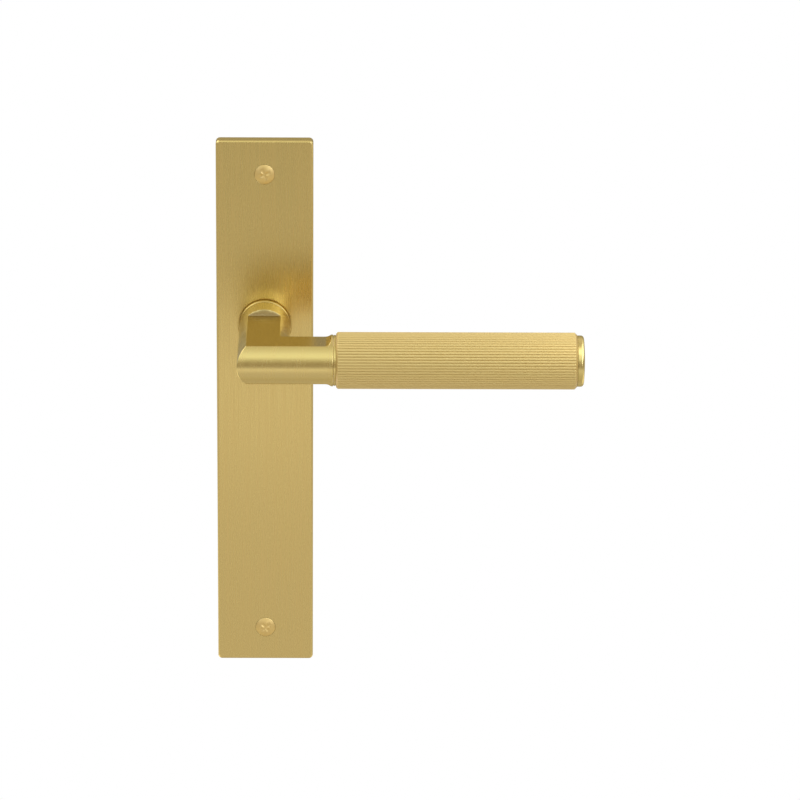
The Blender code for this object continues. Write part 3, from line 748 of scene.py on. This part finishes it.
FINISH_EDGE = 0.05 * MM
# How strongly the flats are darkened: a base for their duller finish, plus painted shade that is full near
# the wall's foot and fades out along the neck, less up the wall
WALL_SHADE_STAND, WALL_SHADE_FADE, DULL_RISE = 24.0 * MM, 7.0 * MM, 1.6 * MM
DULL_BASE, WALL_SHADE_NEAR, DULL_LESS = 0.66, 0.34, 0.45


def mark_finishes(item):
    """Marks the turned neck, and the milled flats, which have a duller finish and painted shade near the
    wall's foot.
    """
    turned = item.data.attributes.new("turning", "FLOAT", "POINT").data
    flats_dull_and_shade = item.data.attributes.new("dull_and_painted_shade", "FLOAT", "POINT").data
    for i, vert in enumerate(item.data.vertices):
        x, out, height = vert.co.x, -vert.co.y, vert.co.z - SPINDLE_Z
        on_neck = out + x < LEVER_STAND
        radius = math.hypot(x, height) if on_neck else math.hypot(out - LEVER_STAND, height)
        # Turned places: a deeper grain, and the painted highlight
        if radius > BAR_RADIUS - FINISH_EDGE and out < CORNER_STAND:
            turned[i].value = 1.0
        if radius < BAR_RADIUS - FINISH_EDGE and abs(height) > FLAT - FINISH_EDGE:
            # Painted shade: darker near the wall's foot
            near = 1.0 - clamped((out - WALL_SHADE_STAND) / WALL_SHADE_FADE)
            rise = clamped((abs(height) - FLAT) / DULL_RISE)
            flats_dull_and_shade[i].value = DULL_BASE + WALL_SHADE_NEAR * near - DULL_LESS * rise


def make_neck(material):
    bar = Bar()
    add_tail(bar)
    add_neck(bar)
    add_corner(bar)
    add_arm(bar)
    item = loft("lever_neck_turned", bar.loops, SPINDLE_AXIS, sharp=40.0)
    mark_finishes(item)
    down = SPINDLE_AXIS @ Matrix.Translation((0.0, 0.0, GRUB_STAND)) @ FRONT_VIEW
    profile = [(radius * MM, depth * MM) for radius, depth in GRUB_HOLE]
    cut_away(item, lathe("grub_hole", profile, down, 48))
    return register(item, "lever_body", material, "neck_brass", "lever_neck")


# Grip

FLUTES = 60
FLUTE_DEPTH = 0.3 * MM
RIDGE_CURVE = 1.1 * MM
RIDGE_HALF = 0.36
GRIP_BORE = 6.3 * MM
BORE_EDGE = 0.3 * MM
CHAMFER_BLEND = 0.08 * MM
START_CHAMFER, END_CHAMFER = 0.75 * MM, 1.0 * MM
CHAMFER_PARTS = (0.0, 0.12, 0.3, 0.45, 0.6, 0.75, 0.88, 1.0)
PLAIN_FROM = 1.2 * MM
# Painted shade in the grooves starts at this share of their depth and is full after the next share
GROOVE_SHADE_FROM, GROOVE_SHADE_FADE = 0.2, 0.6


def flute_loop():
    """Round ridges with narrow grooves between them."""
    half = [0.04, 0.12, 0.2, 0.27, 0.32, 0.36, 0.385, 0.41, 0.44, 0.47]
    parts = [-0.5] + [-part for part in reversed(half)] + half
    pitch = 2 * math.pi * GRIP_RADIUS / FLUTES
    crown = RIDGE_CURVE - math.sqrt(RIDGE_CURVE**2 - (RIDGE_HALF * pitch) ** 2)
    angles, radii = [], []
    for flute in range(FLUTES):
        for part in parts:
            off = abs(part)
            drop = RIDGE_CURVE - math.sqrt(RIDGE_CURVE**2 - (min(off, RIDGE_HALF) * pitch) ** 2)
            if off > RIDGE_HALF:
                share = (off - RIDGE_HALF) / (0.5 - RIDGE_HALF)
                drop = crown + (FLUTE_DEPTH - crown) * smooth(share)
            angles.append(2 * math.pi * (flute + part + 0.5) / FLUTES)
            radii.append(GRIP_RADIUS - drop)
    return np.array(angles), np.array(radii)


def make_sleeve(material):
    angles, radii = flute_loop()
    loops = []

    def add(size, x):
        loops.append(ring(size, angles, x))

    def add_end(x, way, parts, chamfer):
        for part in parts:
            reach = GRIP_RADIUS - chamfer * (1 - part)
            add(soft_min(radii, np.full_like(radii, reach), CHAMFER_BLEND), x + way * chamfer * part)

    add(GRIP_BORE, GRIP_START + BORE_EDGE)
    add(GRIP_BORE + BORE_EDGE, GRIP_START)
    add_end(GRIP_START, 1.0, CHAMFER_PARTS, START_CHAMFER)
    add(radii, GRIP_START + PLAIN_FROM)
    for part in (0.25, 0.5, 0.75):
        add(radii, GRIP_START + (GRIP_END - GRIP_START) * part)
    add(radii, GRIP_END - PLAIN_FROM)
    add_end(GRIP_END, -1.0, CHAMFER_PARTS[::-1], END_CHAMFER)
    add(GRIP_BORE + BORE_EDGE, GRIP_END)
    add(GRIP_BORE, GRIP_END - BORE_EDGE)
    item = loft("grip_sleeve_fluted", loops, LEVER_AXIS, closed=True, sharp=75.0, lengthwise=True)
    # Painted shade: the grooves are darkened, more with depth
    groove = item.data.attributes.new("dull_and_painted_shade", "FLOAT", "POINT").data
    for i, vert in enumerate(item.data.vertices):
        radius = math.hypot(vert.co.y + LEVER_STAND, vert.co.z - SPINDLE_Z)
        deep = (GRIP_RADIUS - radius) / FLUTE_DEPTH
        groove[i].value = clamped((deep - GROOVE_SHADE_FROM) / GROOVE_SHADE_FADE)
    return register(item, "lever_body", material, "sleeve_brass", "grip_sleeve")


def make_spacer_ring(material):
    low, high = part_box("grip_spacer_ring")
    radius = high.z - SPINDLE_Z
    web, lip = radius - 0.16 * MM, 0.18 * MM
    profile = [
        (GRIP_BORE, low.x - lip),
        (web, low.x - lip),
        (web, low.x),
        (radius, low.x),
        (radius, high.x),
        (web, high.x),
        (web, high.x + lip),
        (GRIP_BORE, high.x + lip),
    ]
    half = [0.06 * MM, 0.03 * MM, 0.03 * MM, 0.16 * MM]
    profile = rounded(profile, half + half[::-1], closed=True)
    item = lathe("grip_spacer_ring_turned", profile, LEVER_AXIS, 160, closed=True)
    return register(item, "lever_body", material, "trim_brass", "grip_spacer_ring")


CAP_START = 133.3 * MM
CAP_EDGE = 1.3 * MM
CAP_EDGE_ANGLE = 80.0
CAP_SINK = 0.45 * MM
CAP_SPIGOT = 6.0 * MM
CAP_SPIGOT_LENGTH = 7.6 * MM
ROD_HOLE = 3.2 * MM
ROD_HOLE_END = 134.5 * MM


def make_end_cap(material):
    """A shallow dome, a rounded edge, and the spigot behind with the rod's hole."""
    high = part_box("grip_end_cap")[1]
    radius = high.z - SPINDLE_Z
    turned = math.radians(CAP_EDGE_ANGLE)
    inner = radius - CAP_EDGE * (1 - math.cos(turned))
    dome = [(inner * part, high.x - CAP_SINK * part**2) for part in (0.0, 0.15, 0.3, 0.45, 0.6, 0.75, 0.88)]
    centre = (radius - CAP_EDGE, high.x - CAP_SINK - CAP_EDGE * math.sin(turned))
    edge = arc(CAP_EDGE, CAP_EDGE_ANGLE, 0.0, 14, centre)
    back = [
        (radius, CAP_START),
        (CAP_SPIGOT, CAP_START),
        (CAP_SPIGOT, CAP_START - CAP_SPIGOT_LENGTH),
        (ROD_HOLE, CAP_START - CAP_SPIGOT_LENGTH),
        (ROD_HOLE, ROD_HOLE_END),
        (0.0, ROD_HOLE_END),
    ]
    corners = [0.1 * MM, 0.3 * MM, 0.15 * MM, 0.0, 0.0, 0.0]
    profile = dome + edge + back
    round_off = [0.0] * (len(profile) - 7) + [0.2 * MM] + corners
    item = lathe("grip_end_cap_turned", rounded(profile, round_off, 4), LEVER_AXIS, 160)
    return register(item, "lever_body", material, "trim_brass", "grip_end_cap")


COLLAR_HUB = 9.5 * MM
COLLAR_BORE = 8.2 * MM
COLLAR_BACK = 4.75 * MM
COLLAR_SEAT = SEAT_STAND + 0.06 * MM


def make_collar(material):
    front = stands_of("neck_collar")[1]
    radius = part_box("neck_collar")[1].x
    profile = [
        (radius, front),
        (radius, COLLAR_SEAT),
        (COLLAR_HUB, COLLAR_SEAT),
        (COLLAR_HUB, COLLAR_BACK),
        (COLLAR_BORE, COLLAR_BACK),
        (COLLAR_BORE, front),
    ]
    round_off = [1.3 * MM, 0.08 * MM, 0.1 * MM, 0.15 * MM, 0.1 * MM, 0.1 * MM]
    profile = rounded(profile, round_off, 6, closed=True)
    item = lathe("neck_collar_turned", profile, SPINDLE_AXIS, 160, closed=True)
    return register(item, "backplate_body", material, "collar_brass", "neck_collar")


# Screws and other threaded pieces

THREAD_HALF = 0.34
ROD_CREST, ROD_PITCH = 2.9 * MM, 0.9 * MM
ROD_THREAD, ROD_POINT, ROD_RUN = 0.42 * MM, 0.5 * MM, 0.3 * MM
ROD_COUNT = 32


def thread(stands, angle, crest, root, pitch):
    """Radii of a screw thread, one loop of them for each stand."""
    loops = []
    for stand in stands:
        phase = (stand / pitch + angle / (2 * math.pi)) % 1.0
        ridge = np.clip(1.0 - np.abs(phase - 0.5) / THREAD_HALF, 0.0, 1.0)
        loops.append(root + (crest - root) * ridge)
    return loops


def make_tie_rod(material):
    low, high = (corner.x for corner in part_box("grip_tie_rod"))
    angle = turn_angles(ROD_COUNT)
    stands = np.arange(low + ROD_RUN, high - ROD_RUN, ROD_PITCH / 8)
    loops = [circle(ROD_CREST - ROD_POINT, low, ROD_COUNT)]
    for stand, size in zip(stands, thread(stands, angle, ROD_CREST, ROD_CREST - ROD_THREAD, ROD_PITCH)):
        loops.append(ring(size, angle, stand))
    loops.append(circle(ROD_CREST - ROD_POINT, high, ROD_COUNT))
    item = loft("grip_tie_rod_threaded", loops, LEVER_AXIS, sharp=50.0)
    return register(item, "lever_body", material, "rod_steel", "grip_tie_rod")


HEAD_RADIUS, HEAD_RISE = 4.33 * MM, 0.72 * MM
CROSS_WIDTH, CROSS_REACH, CROSS_DEPTH = 0.3 * MM, 3.1 * MM, 0.3 * MM
CROSS_TAPER, CROSS_SLOPE = 1.9 * MM, 0.9 * MM
SHANK_RADIUS, SHANK_END = 1.75 * MM, -5.0 * MM
SCREW_CREST, SCREW_ROOT, SCREW_PITCH = 2.0 * MM, 1.35 * MM, 1.8 * MM
SCREW_POINT = 6.0 * MM
SCREW_COUNT = 96
SHANK_LOOPS = (
    (HEAD_RADIUS, PLATE_FRONT - 0.03 * MM),
    (HEAD_RADIUS - 0.04 * MM, PLATE_FRONT - 0.14 * MM),
    (SCREW_CREST, PLATE_FRONT - 2.2 * MM),
    (SHANK_RADIUS, PLATE_FRONT - 2.5 * MM),
    (SHANK_RADIUS, SHANK_END),
)


def cross_depth(x, y, turn):
    """Depth of a tapered cross recess at points on a head, turned by an angle."""
    c, s = math.cos(turn), math.sin(turn)
    x, y = x * c + y * s, y * c - x * s
    depth = np.zeros_like(x)
    for along, across in ((x, y), (y, x)):
        wall = np.clip((CROSS_WIDTH / 2 + CROSS_SLOPE - np.abs(across)) / CROSS_SLOPE, 0.0, 1.0)
        run = np.clip((CROSS_REACH - np.abs(along)) / CROSS_TAPER, 0.0, 1.0)
        depth = np.maximum(depth, CROSS_DEPTH * smooth(wall) * smooth(run))
    return depth


def make_fixing_screw(node_name, turn, material):
    """A raised countersunk wood screw, from the middle of its head to its point."""
    angle = turn_angles(SCREW_COUNT)
    loops = []
    for part in list(np.linspace(0.02, 0.75, 32)) + [0.8, 0.87, 0.93, 0.97]:
        loop = ring(HEAD_RADIUS * part, angle, PLATE_FRONT + HEAD_RISE * (1 - part**2))
        loop[:, 2] -= cross_depth(loop[:, 0], loop[:, 1], math.radians(turn))
        loops.append(loop)
    for size, stand in SHANK_LOOPS:
        loops.append(circle(size, stand, SCREW_COUNT))
    end = -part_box(node_name)[1].y
    stands = np.arange(SHANK_END - 0.15 * MM, end, -SCREW_PITCH / 10)
    for stand, size in zip(stands, thread(stands, angle, SCREW_CREST, SCREW_ROOT, SCREW_PITCH)):
        taper = min(1.0, max(0.04, (stand - end) / SCREW_POINT)) ** 0.7
        enter = min(1.0, (SHANK_END - stand) / SCREW_PITCH)
        size = (SHANK_RADIUS * (1 - enter) + size * enter) * taper
        loops.append(ring(size, angle, stand))
    ends = ((0.0, 0.0, PLATE_FRONT + HEAD_RISE - CROSS_DEPTH), (0.0, 0.0, end))
    matrix = at_height(centre_of(node_name).z)
    item = loft(node_name + "_threaded", loops, matrix, ends, sharp=45.0)
    return register(item, "backplate_body", material, "screw_brass", node_name)


SPINDLE_CORNER = 0.45 * MM
# The spindle's softened ends: (how far in from its sides, how far from its end) in millimetres
SPINDLE_END = ((0.6, 0.0), (0.25, 0.2), (0.0, 0.7))


def make_spindle(material):
    back, front = stands_of("spindle")
    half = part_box("spindle")[1].x
    steps = [(inset, front - along * MM) for inset, along in SPINDLE_END]
    steps += [(inset, back + along * MM) for inset, along in reversed(SPINDLE_END)]
    loops = []
    for inset, stand in steps:
        size = half - inset * MM
        outline = rounded_rectangle(size, size, SPINDLE_CORNER, steps=6)
        loops.append([(x, y, stand) for x, y in outline])
    item = loft("spindle_drawn", loops, SPINDLE_AXIS)
    return register(item, "lever_body", material, "spindle_steel", "spindle")


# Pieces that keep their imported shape

WELD_DISTANCE = 0.002 * MM
PACKED_BEVEL = 0.08 * MM


def carry_over(name, material):
    """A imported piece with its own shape, finely bevelled edges and a detailed material."""
    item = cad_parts[name]
    for slot in item.material_slots:
        slot.material = material
    weld = item.modifiers.new("weld", "WELD")
    weld.merge_threshold = WELD_DISTANCE
    edges = item.modifiers.new("edges", "BEVEL")
    edges.width = PACKED_BEVEL
    edges.segments = 2
    edges.limit_method = "ANGLE"
    edges.angle_limit = math.radians(40.0)
    edges.use_clamp_overlap = True
    normals = item.modifiers.new("normals", "WEIGHTED_NORMAL")
    normals.keep_sharp = True


# Stage: floor, backdrop, light and camera

FLOOR_REACH, FLOOR_DROP = 12.0, 0.25
BACKDROP_RADIUS = 20.0


def glowing(name, colour_of):
    """A material that gives off light of the colour that colour_of builds in its tree."""
    material = bpy.data.materials.new(name)
    material.use_nodes = True
    tree = material.node_tree
    tree.nodes.clear()
    out = node(tree, "OutputMaterial")
    glow = node(tree, "Emission", {"Color": colour_of(tree), "Strength": 1.0})
    tree.links.new(glow.outputs[0], out.inputs["Surface"])
    return material


def stage_mesh(name, points, faces, material):
    mesh = bpy.data.meshes.new(name)
    mesh.from_pydata(points, [], faces)
    mesh.materials.append(material)
    item = bpy.data.objects.new(name, mesh)
    SCENE.collection.objects.link(item)
    return item
def hide_from_metal(item):
    item.visible_glossy = False
    item.visible_diffuse = False
    item.visible_shadow = False
    item.visible_transmission = False


def make_stage():
    """A plain pale floor and backdrop, which neither light the piece nor show in it."""
    white = glowing("pale", lambda tree: (1.0, 1.0, 1.0, 1.0))
    x, z = FLOOR_REACH, CAD_BOX[0].z - FLOOR_DROP
    corners = [(-x, -x, z), (x, -x, z), (x, x, z), (-x, x, z)]
    hide_from_metal(stage_mesh("floor", corners, [(0, 1, 2, 3)], white))
    shape = bmesh.new()
    bmesh.ops.create_uvsphere(shape, u_segments=32, v_segments=16, radius=BACKDROP_RADIUS)
    points = [tuple(vert.co) for vert in shape.verts]
    shape.verts.index_update()
    faces = [[vert.index for vert in face.verts] for face in shape.faces]
    shape.free()
    hide_from_metal(stage_mesh("backdrop", points, faces, white))


# What the room shows at each height, in degrees above level, in front and behind
FRONT_SKY = [
    (-90, (0.50, 0.44, 0.34)),
    (-70, (0.58, 0.54, 0.40)),
    (-53, (0.62, 0.58, 0.43)),
    (-40, (0.68, 0.65, 0.52)),
    (-30, (0.77, 0.76, 0.62)),
    (-24, (0.78, 0.76, 0.64)),
    (-15, (0.46, 0.43, 0.36)),
    (-7, (0.36, 0.31, 0.22)),
    (5, (0.37, 0.32, 0.21)),
    (18, (0.63, 0.61, 0.47)),
    (30, (1.05, 1.10, 0.93)),
    (45, (0.97, 1.02, 0.88)),
    (58, (0.84, 0.85, 0.72)),
    (70, (0.73, 0.73, 0.58)),
    (82, (0.65, 0.63, 0.48)),
    (90, (0.62, 0.58, 0.47)),
]
BACK_SKY = [
    (-90, (0.60, 0.57, 0.52)),
    (-45, (0.60, 0.58, 0.54)),
    (-15, (0.50, 0.48, 0.44)),
    (8, (0.44, 0.42, 0.38)),
    (24, (0.52, 0.50, 0.46)),
    (50, (0.76, 0.72, 0.63)),
    (90, (0.62, 0.58, 0.47)),
]
# Lights: side and colour. Corner lights are behind: side, up or down, and colour
SIDE_LIGHTS = [
    (1.0, (1.12, 1.18, 1.2)),
    (-1.0, (0.7, 0.72, 0.72)),
]
STRIP_LIGHTS = [
    (1.0, (2.3, 2.5, 2.8)),
    (-1.0, (1.2, 1.3, 1.5)),
]
CORNER_LIGHTS = [
    (-1.0, 1.0, (3.4, 3.35, 3.1)),
    (1.0, 1.0, (1.0, 0.97, 0.85)),
    (-1.0, -1.0, (2.2, 2.1, 1.85)),
    (1.0, -1.0, (1.2, 1.15, 1.0)),
]
# Parts of a direction at which a light is still out, and at which it is full
BACK_ROOM = (-0.3, 0.3)
SIDE_UP, SIDE_ACROSS = (0.12, 0.42), (0.42, 0.66)
STRIP_FOOT, STRIP_TOP, STRIP_AHEAD = (-0.04, 0.06), (0.6, 0.45), (-0.2, -0.6)
STRIP_NEAR, STRIP_FAR = (0.24, 0.32), (0.6, 0.5)
CORNER_BEHIND, CORNER_UP, CORNER_ACROSS = (-0.2, 0.15), (0.3, 0.55), (0.32, 0.5)


def sky_ramp(tree, height, stops):
    places = [((math.sin(math.radians(angle)) + 1) / 2, colour) for angle, colour in stops]
    return ramp(tree, slope(tree, height, -1.0, 1.0), places)


def make_world():
    """A room that is bright above and in front, darker level with the piece, and lit from the sides."""
    world = bpy.data.worlds.new("studio")
    SCENE.world = world
    world.use_nodes = True
    tree = world.node_tree
    look = node(tree, "TexCoord").outputs["Generated"]
    across, depth, up = node(tree, "SeparateXYZ", {"Vector": look}).outputs

    def within(part, limits, way=1.0):
        return slope(tree, part, way * limits[0], way * limits[1])

    def lit(colour, light, *shares):
        return mixed(tree, product(tree, *shares), colour, light, "LIGHTEN")

    behind = within(depth, BACK_ROOM)
    colour = mixed(tree, behind, sky_ramp(tree, up, FRONT_SKY), sky_ramp(tree, up, BACK_SKY))
    raised = within(up, SIDE_UP)
    for side, light in SIDE_LIGHTS:
        colour = lit(colour, light, raised, within(across, SIDE_ACROSS, side))
    ahead = product(tree, within(up, STRIP_FOOT), within(up, STRIP_TOP), within(depth, STRIP_AHEAD))
    for side, light in STRIP_LIGHTS:
        near, far = within(across, STRIP_NEAR, side), within(across, STRIP_FAR, side)
        colour = lit(colour, light, ahead, near, far)
    back = within(depth, CORNER_BEHIND)
    for side, way, light in CORNER_LIGHTS:
        level, edge = within(up, CORNER_UP, way), within(across, CORNER_ACROSS, side)
        colour = lit(colour, light, back, level, edge)
    tree.links.new(colour, tree.nodes["Background"].inputs["Color"])


CARD_Y = -0.27
CARD_TOP = -0.035
CARD_LOW = -0.45
CARD_HALF_WIDTH = 0.06
CARD_STOPS = [
    (0.0, (0.60, 0.57, 0.50)),
    (0.55, (0.61, 0.57, 0.50)),
    (0.73, (0.62, 0.58, 0.50)),
    (0.84, (0.74, 0.70, 0.61)),
    (0.92, (0.89, 0.85, 0.75)),
    (1.0, (0.89, 0.85, 0.75)),
]


def make_card():
    """A narrow reflector in front and below, which the plate's middle shows."""
    def colour_of(tree):
        spot = node(tree, "TexCoord").outputs["Object"]
        height = node(tree, "SeparateXYZ", {"Vector": spot}).outputs["Z"]
        return ramp(tree, slope(tree, height, CARD_LOW, CARD_TOP), CARD_STOPS)

    x = CARD_HALF_WIDTH
    corners = [(-x, CARD_Y, CARD_LOW), (x, CARD_Y, CARD_LOW), (x, CARD_Y, CARD_TOP), (-x, CARD_Y, CARD_TOP)]
    card = stage_mesh("reflector", corners, [(0, 1, 2, 3)], glowing("reflector", colour_of))
    card.visible_camera = False


END_LIGHT_AT = Vector((0.17, -0.09, 0.09))
END_LIGHT_TO = Vector((0.118, -0.06, 0.0))
END_LIGHT_SIZE = 0.08
END_LIGHT_POWER = 0.022
END_LIGHT_COLOUR = (1.0, 0.98, 0.93)


def make_end_light():
    """A small soft light above the free end of the grip."""
    lamp = bpy.data.lights.new("end_light", "AREA")
    lamp.size = END_LIGHT_SIZE
    lamp.energy = END_LIGHT_POWER
    lamp.color = END_LIGHT_COLOUR
    item = bpy.data.objects.new("end_light", lamp)
    SCENE.collection.objects.link(item)
    item.visible_camera = False
    item.location = END_LIGHT_AT
    item.rotation_euler = (END_LIGHT_TO - END_LIGHT_AT).to_track_quat("-Z", "Y").to_euler()


AIM = Vector((0.058637, -0.030, 0.00998))
DISTANCE = 2.0
ELEVATION, AZIMUTH, ROLL = 18.0, -0.859, 0.418
LENS, SENSOR = 208.44, 36.0
CLIP_END = 100.0


def make_camera():
    e, a, r = (math.radians(value) for value in (ELEVATION, AZIMUTH, ROLL))
    back = Vector((math.sin(a) * math.cos(e), -math.cos(a) * math.cos(e), math.sin(e)))
    right = Vector((math.cos(a), math.sin(a), 0.0))
    up = back.cross(right)
    across = right * math.cos(r) + up * math.sin(r)
    top = up * math.cos(r) - right * math.sin(r)
    data = bpy.data.cameras.new("camera")
    data.lens = LENS
    data.sensor_width = SENSOR
    data.clip_end = CLIP_END
    camera = bpy.data.objects.new("camera", data)
    SCENE.collection.objects.link(camera)
    turned = Matrix((across, top, back)).transposed().to_4x4()
    camera.matrix_world = Matrix.Translation(AIM + back * DISTANCE) @ turned
    SCENE.camera = camera


make_stage()
make_card()
make_end_light()
make_world()
make_camera()

# Metals, and the pieces made of them

BRASS = (0.80, 0.63, 0.27)
PLATE_BRASS = (0.80, 0.615, 0.255)
SLEEVE_BRASS = (0.76, 0.572, 0.238)
SCREW_BRASS = (0.845, 0.61, 0.25)
STEEL = (0.56, 0.56, 0.57)
DARK_STEEL = (0.10, 0.10, 0.11)
SHEET_STEEL = (0.50, 0.50, 0.51)
SPINDLE_STEEL = (0.50, 0.50, 0.52)
BLUED_STEEL = (0.30, 0.32, 0.38)
ZINC = (0.62, 0.63, 0.62)
NYLON = (0.82, 0.80, 0.73)
STEEL_EDGE = (0.9, 0.9, 0.9)
DOWN_THE_DOOR = (1.0, 1.0, 0.03)
INTO_THE_DOOR = (1.0, 0.03, 1.0)
UPPER_SCREW_TURN, LOWER_SCREW_TURN = 24.0, 41.0

plate_satin = metal("plate_satin", PLATE_BRASS, 0.27, contrast=0.008, blotch=0.003, depth=0.25)
# On the neck, pale is a painted highlight on the turned surface. The dull colour darkens the milled flats:
# a duller finish, with painted shade near the wall's foot.
neck_satin = metal(
    "neck_satin", BRASS, 0.24, contrast=0.008, blotch=0.004, depth=0.25,
    turning=12.0, pale=(1.17, 1.26, 1.6), dull_and_painted_shade=(0.6, 0.58, 0.72),
)
# The sleeve's dull colour is painted shade in its grooves
sleeve_satin = metal(
    "sleeve_satin", SLEEVE_BRASS, 0.42, contrast=0.008, blotch=0.004, depth=0.03,
    metallic=0.3, edge=(1.0, 1.0, 0.9), dull_and_painted_shade=(0.74, 0.68, 0.56),
)
trim_satin = metal("trim_satin", BRASS, 0.24, contrast=0.01, blotch=0.004, depth=0.3)
collar_satin = metal("collar_satin", BRASS, 0.30, contrast=0.01, blotch=0.004, depth=0.5)
screw_satin = metal("screw_satin", SCREW_BRASS, 0.40, contrast=0.02, blotch=0.008, depth=0.5)
bright_steel = metal("bright_steel", STEEL, 0.3, edge=STEEL_EDGE)
spindle_drawn = metal("spindle_drawn", SPINDLE_STEEL, 0.36, edge=STEEL_EDGE)
bearing = nylon("bearing_nylon", NYLON)
ground = metal("ground_steel", STEEL, 0.28, along=INTO_THE_DOOR, edge=STEEL_EDGE)
sheet = metal("sheet_steel", SHEET_STEEL, 0.34, along=DOWN_THE_DOOR, edge=STEEL_EDGE)
blued = metal("blued_spring", BLUED_STEEL, 0.28, along=DOWN_THE_DOOR, edge=STEEL_EDGE)
zinc = metal("zinc_cover", ZINC, 0.42, along=DOWN_THE_DOOR, edge=STEEL_EDGE, contrast=0.05)
dark = metal("black_steel", DARK_STEEL, 0.36, along=INTO_THE_DOOR, edge=STEEL_EDGE)

make_backplate(plate_satin)
make_neck(neck_satin)
make_sleeve(sleeve_satin)
make_spacer_ring(trim_satin)
make_end_cap(trim_satin)
make_tie_rod(bright_steel)
make_collar(collar_satin)
make_fixing_screw("fixing_screw_upper", UPPER_SCREW_TURN, screw_satin)
make_fixing_screw("fixing_screw_lower", LOWER_SCREW_TURN, screw_satin)
make_spindle(spindle_drawn)
for name, material in (
    ("bearing_bush", bearing),
    ("thrust_washer", bearing),
    ("rest_stop_pin", ground),
    ("end_stop_pin", ground),
    ("spring_anchor_pin", ground),
    ("return_spring", blued),
    ("cassette_cover", zinc),
    ("cover_screw_upper", sheet),
    ("cover_screw_lower", sheet),
    ("spindle_grub_screw", dark),
    ("spring_cam", sheet),
    ("retaining_circlip", dark),
):
    carry_over(name, material)
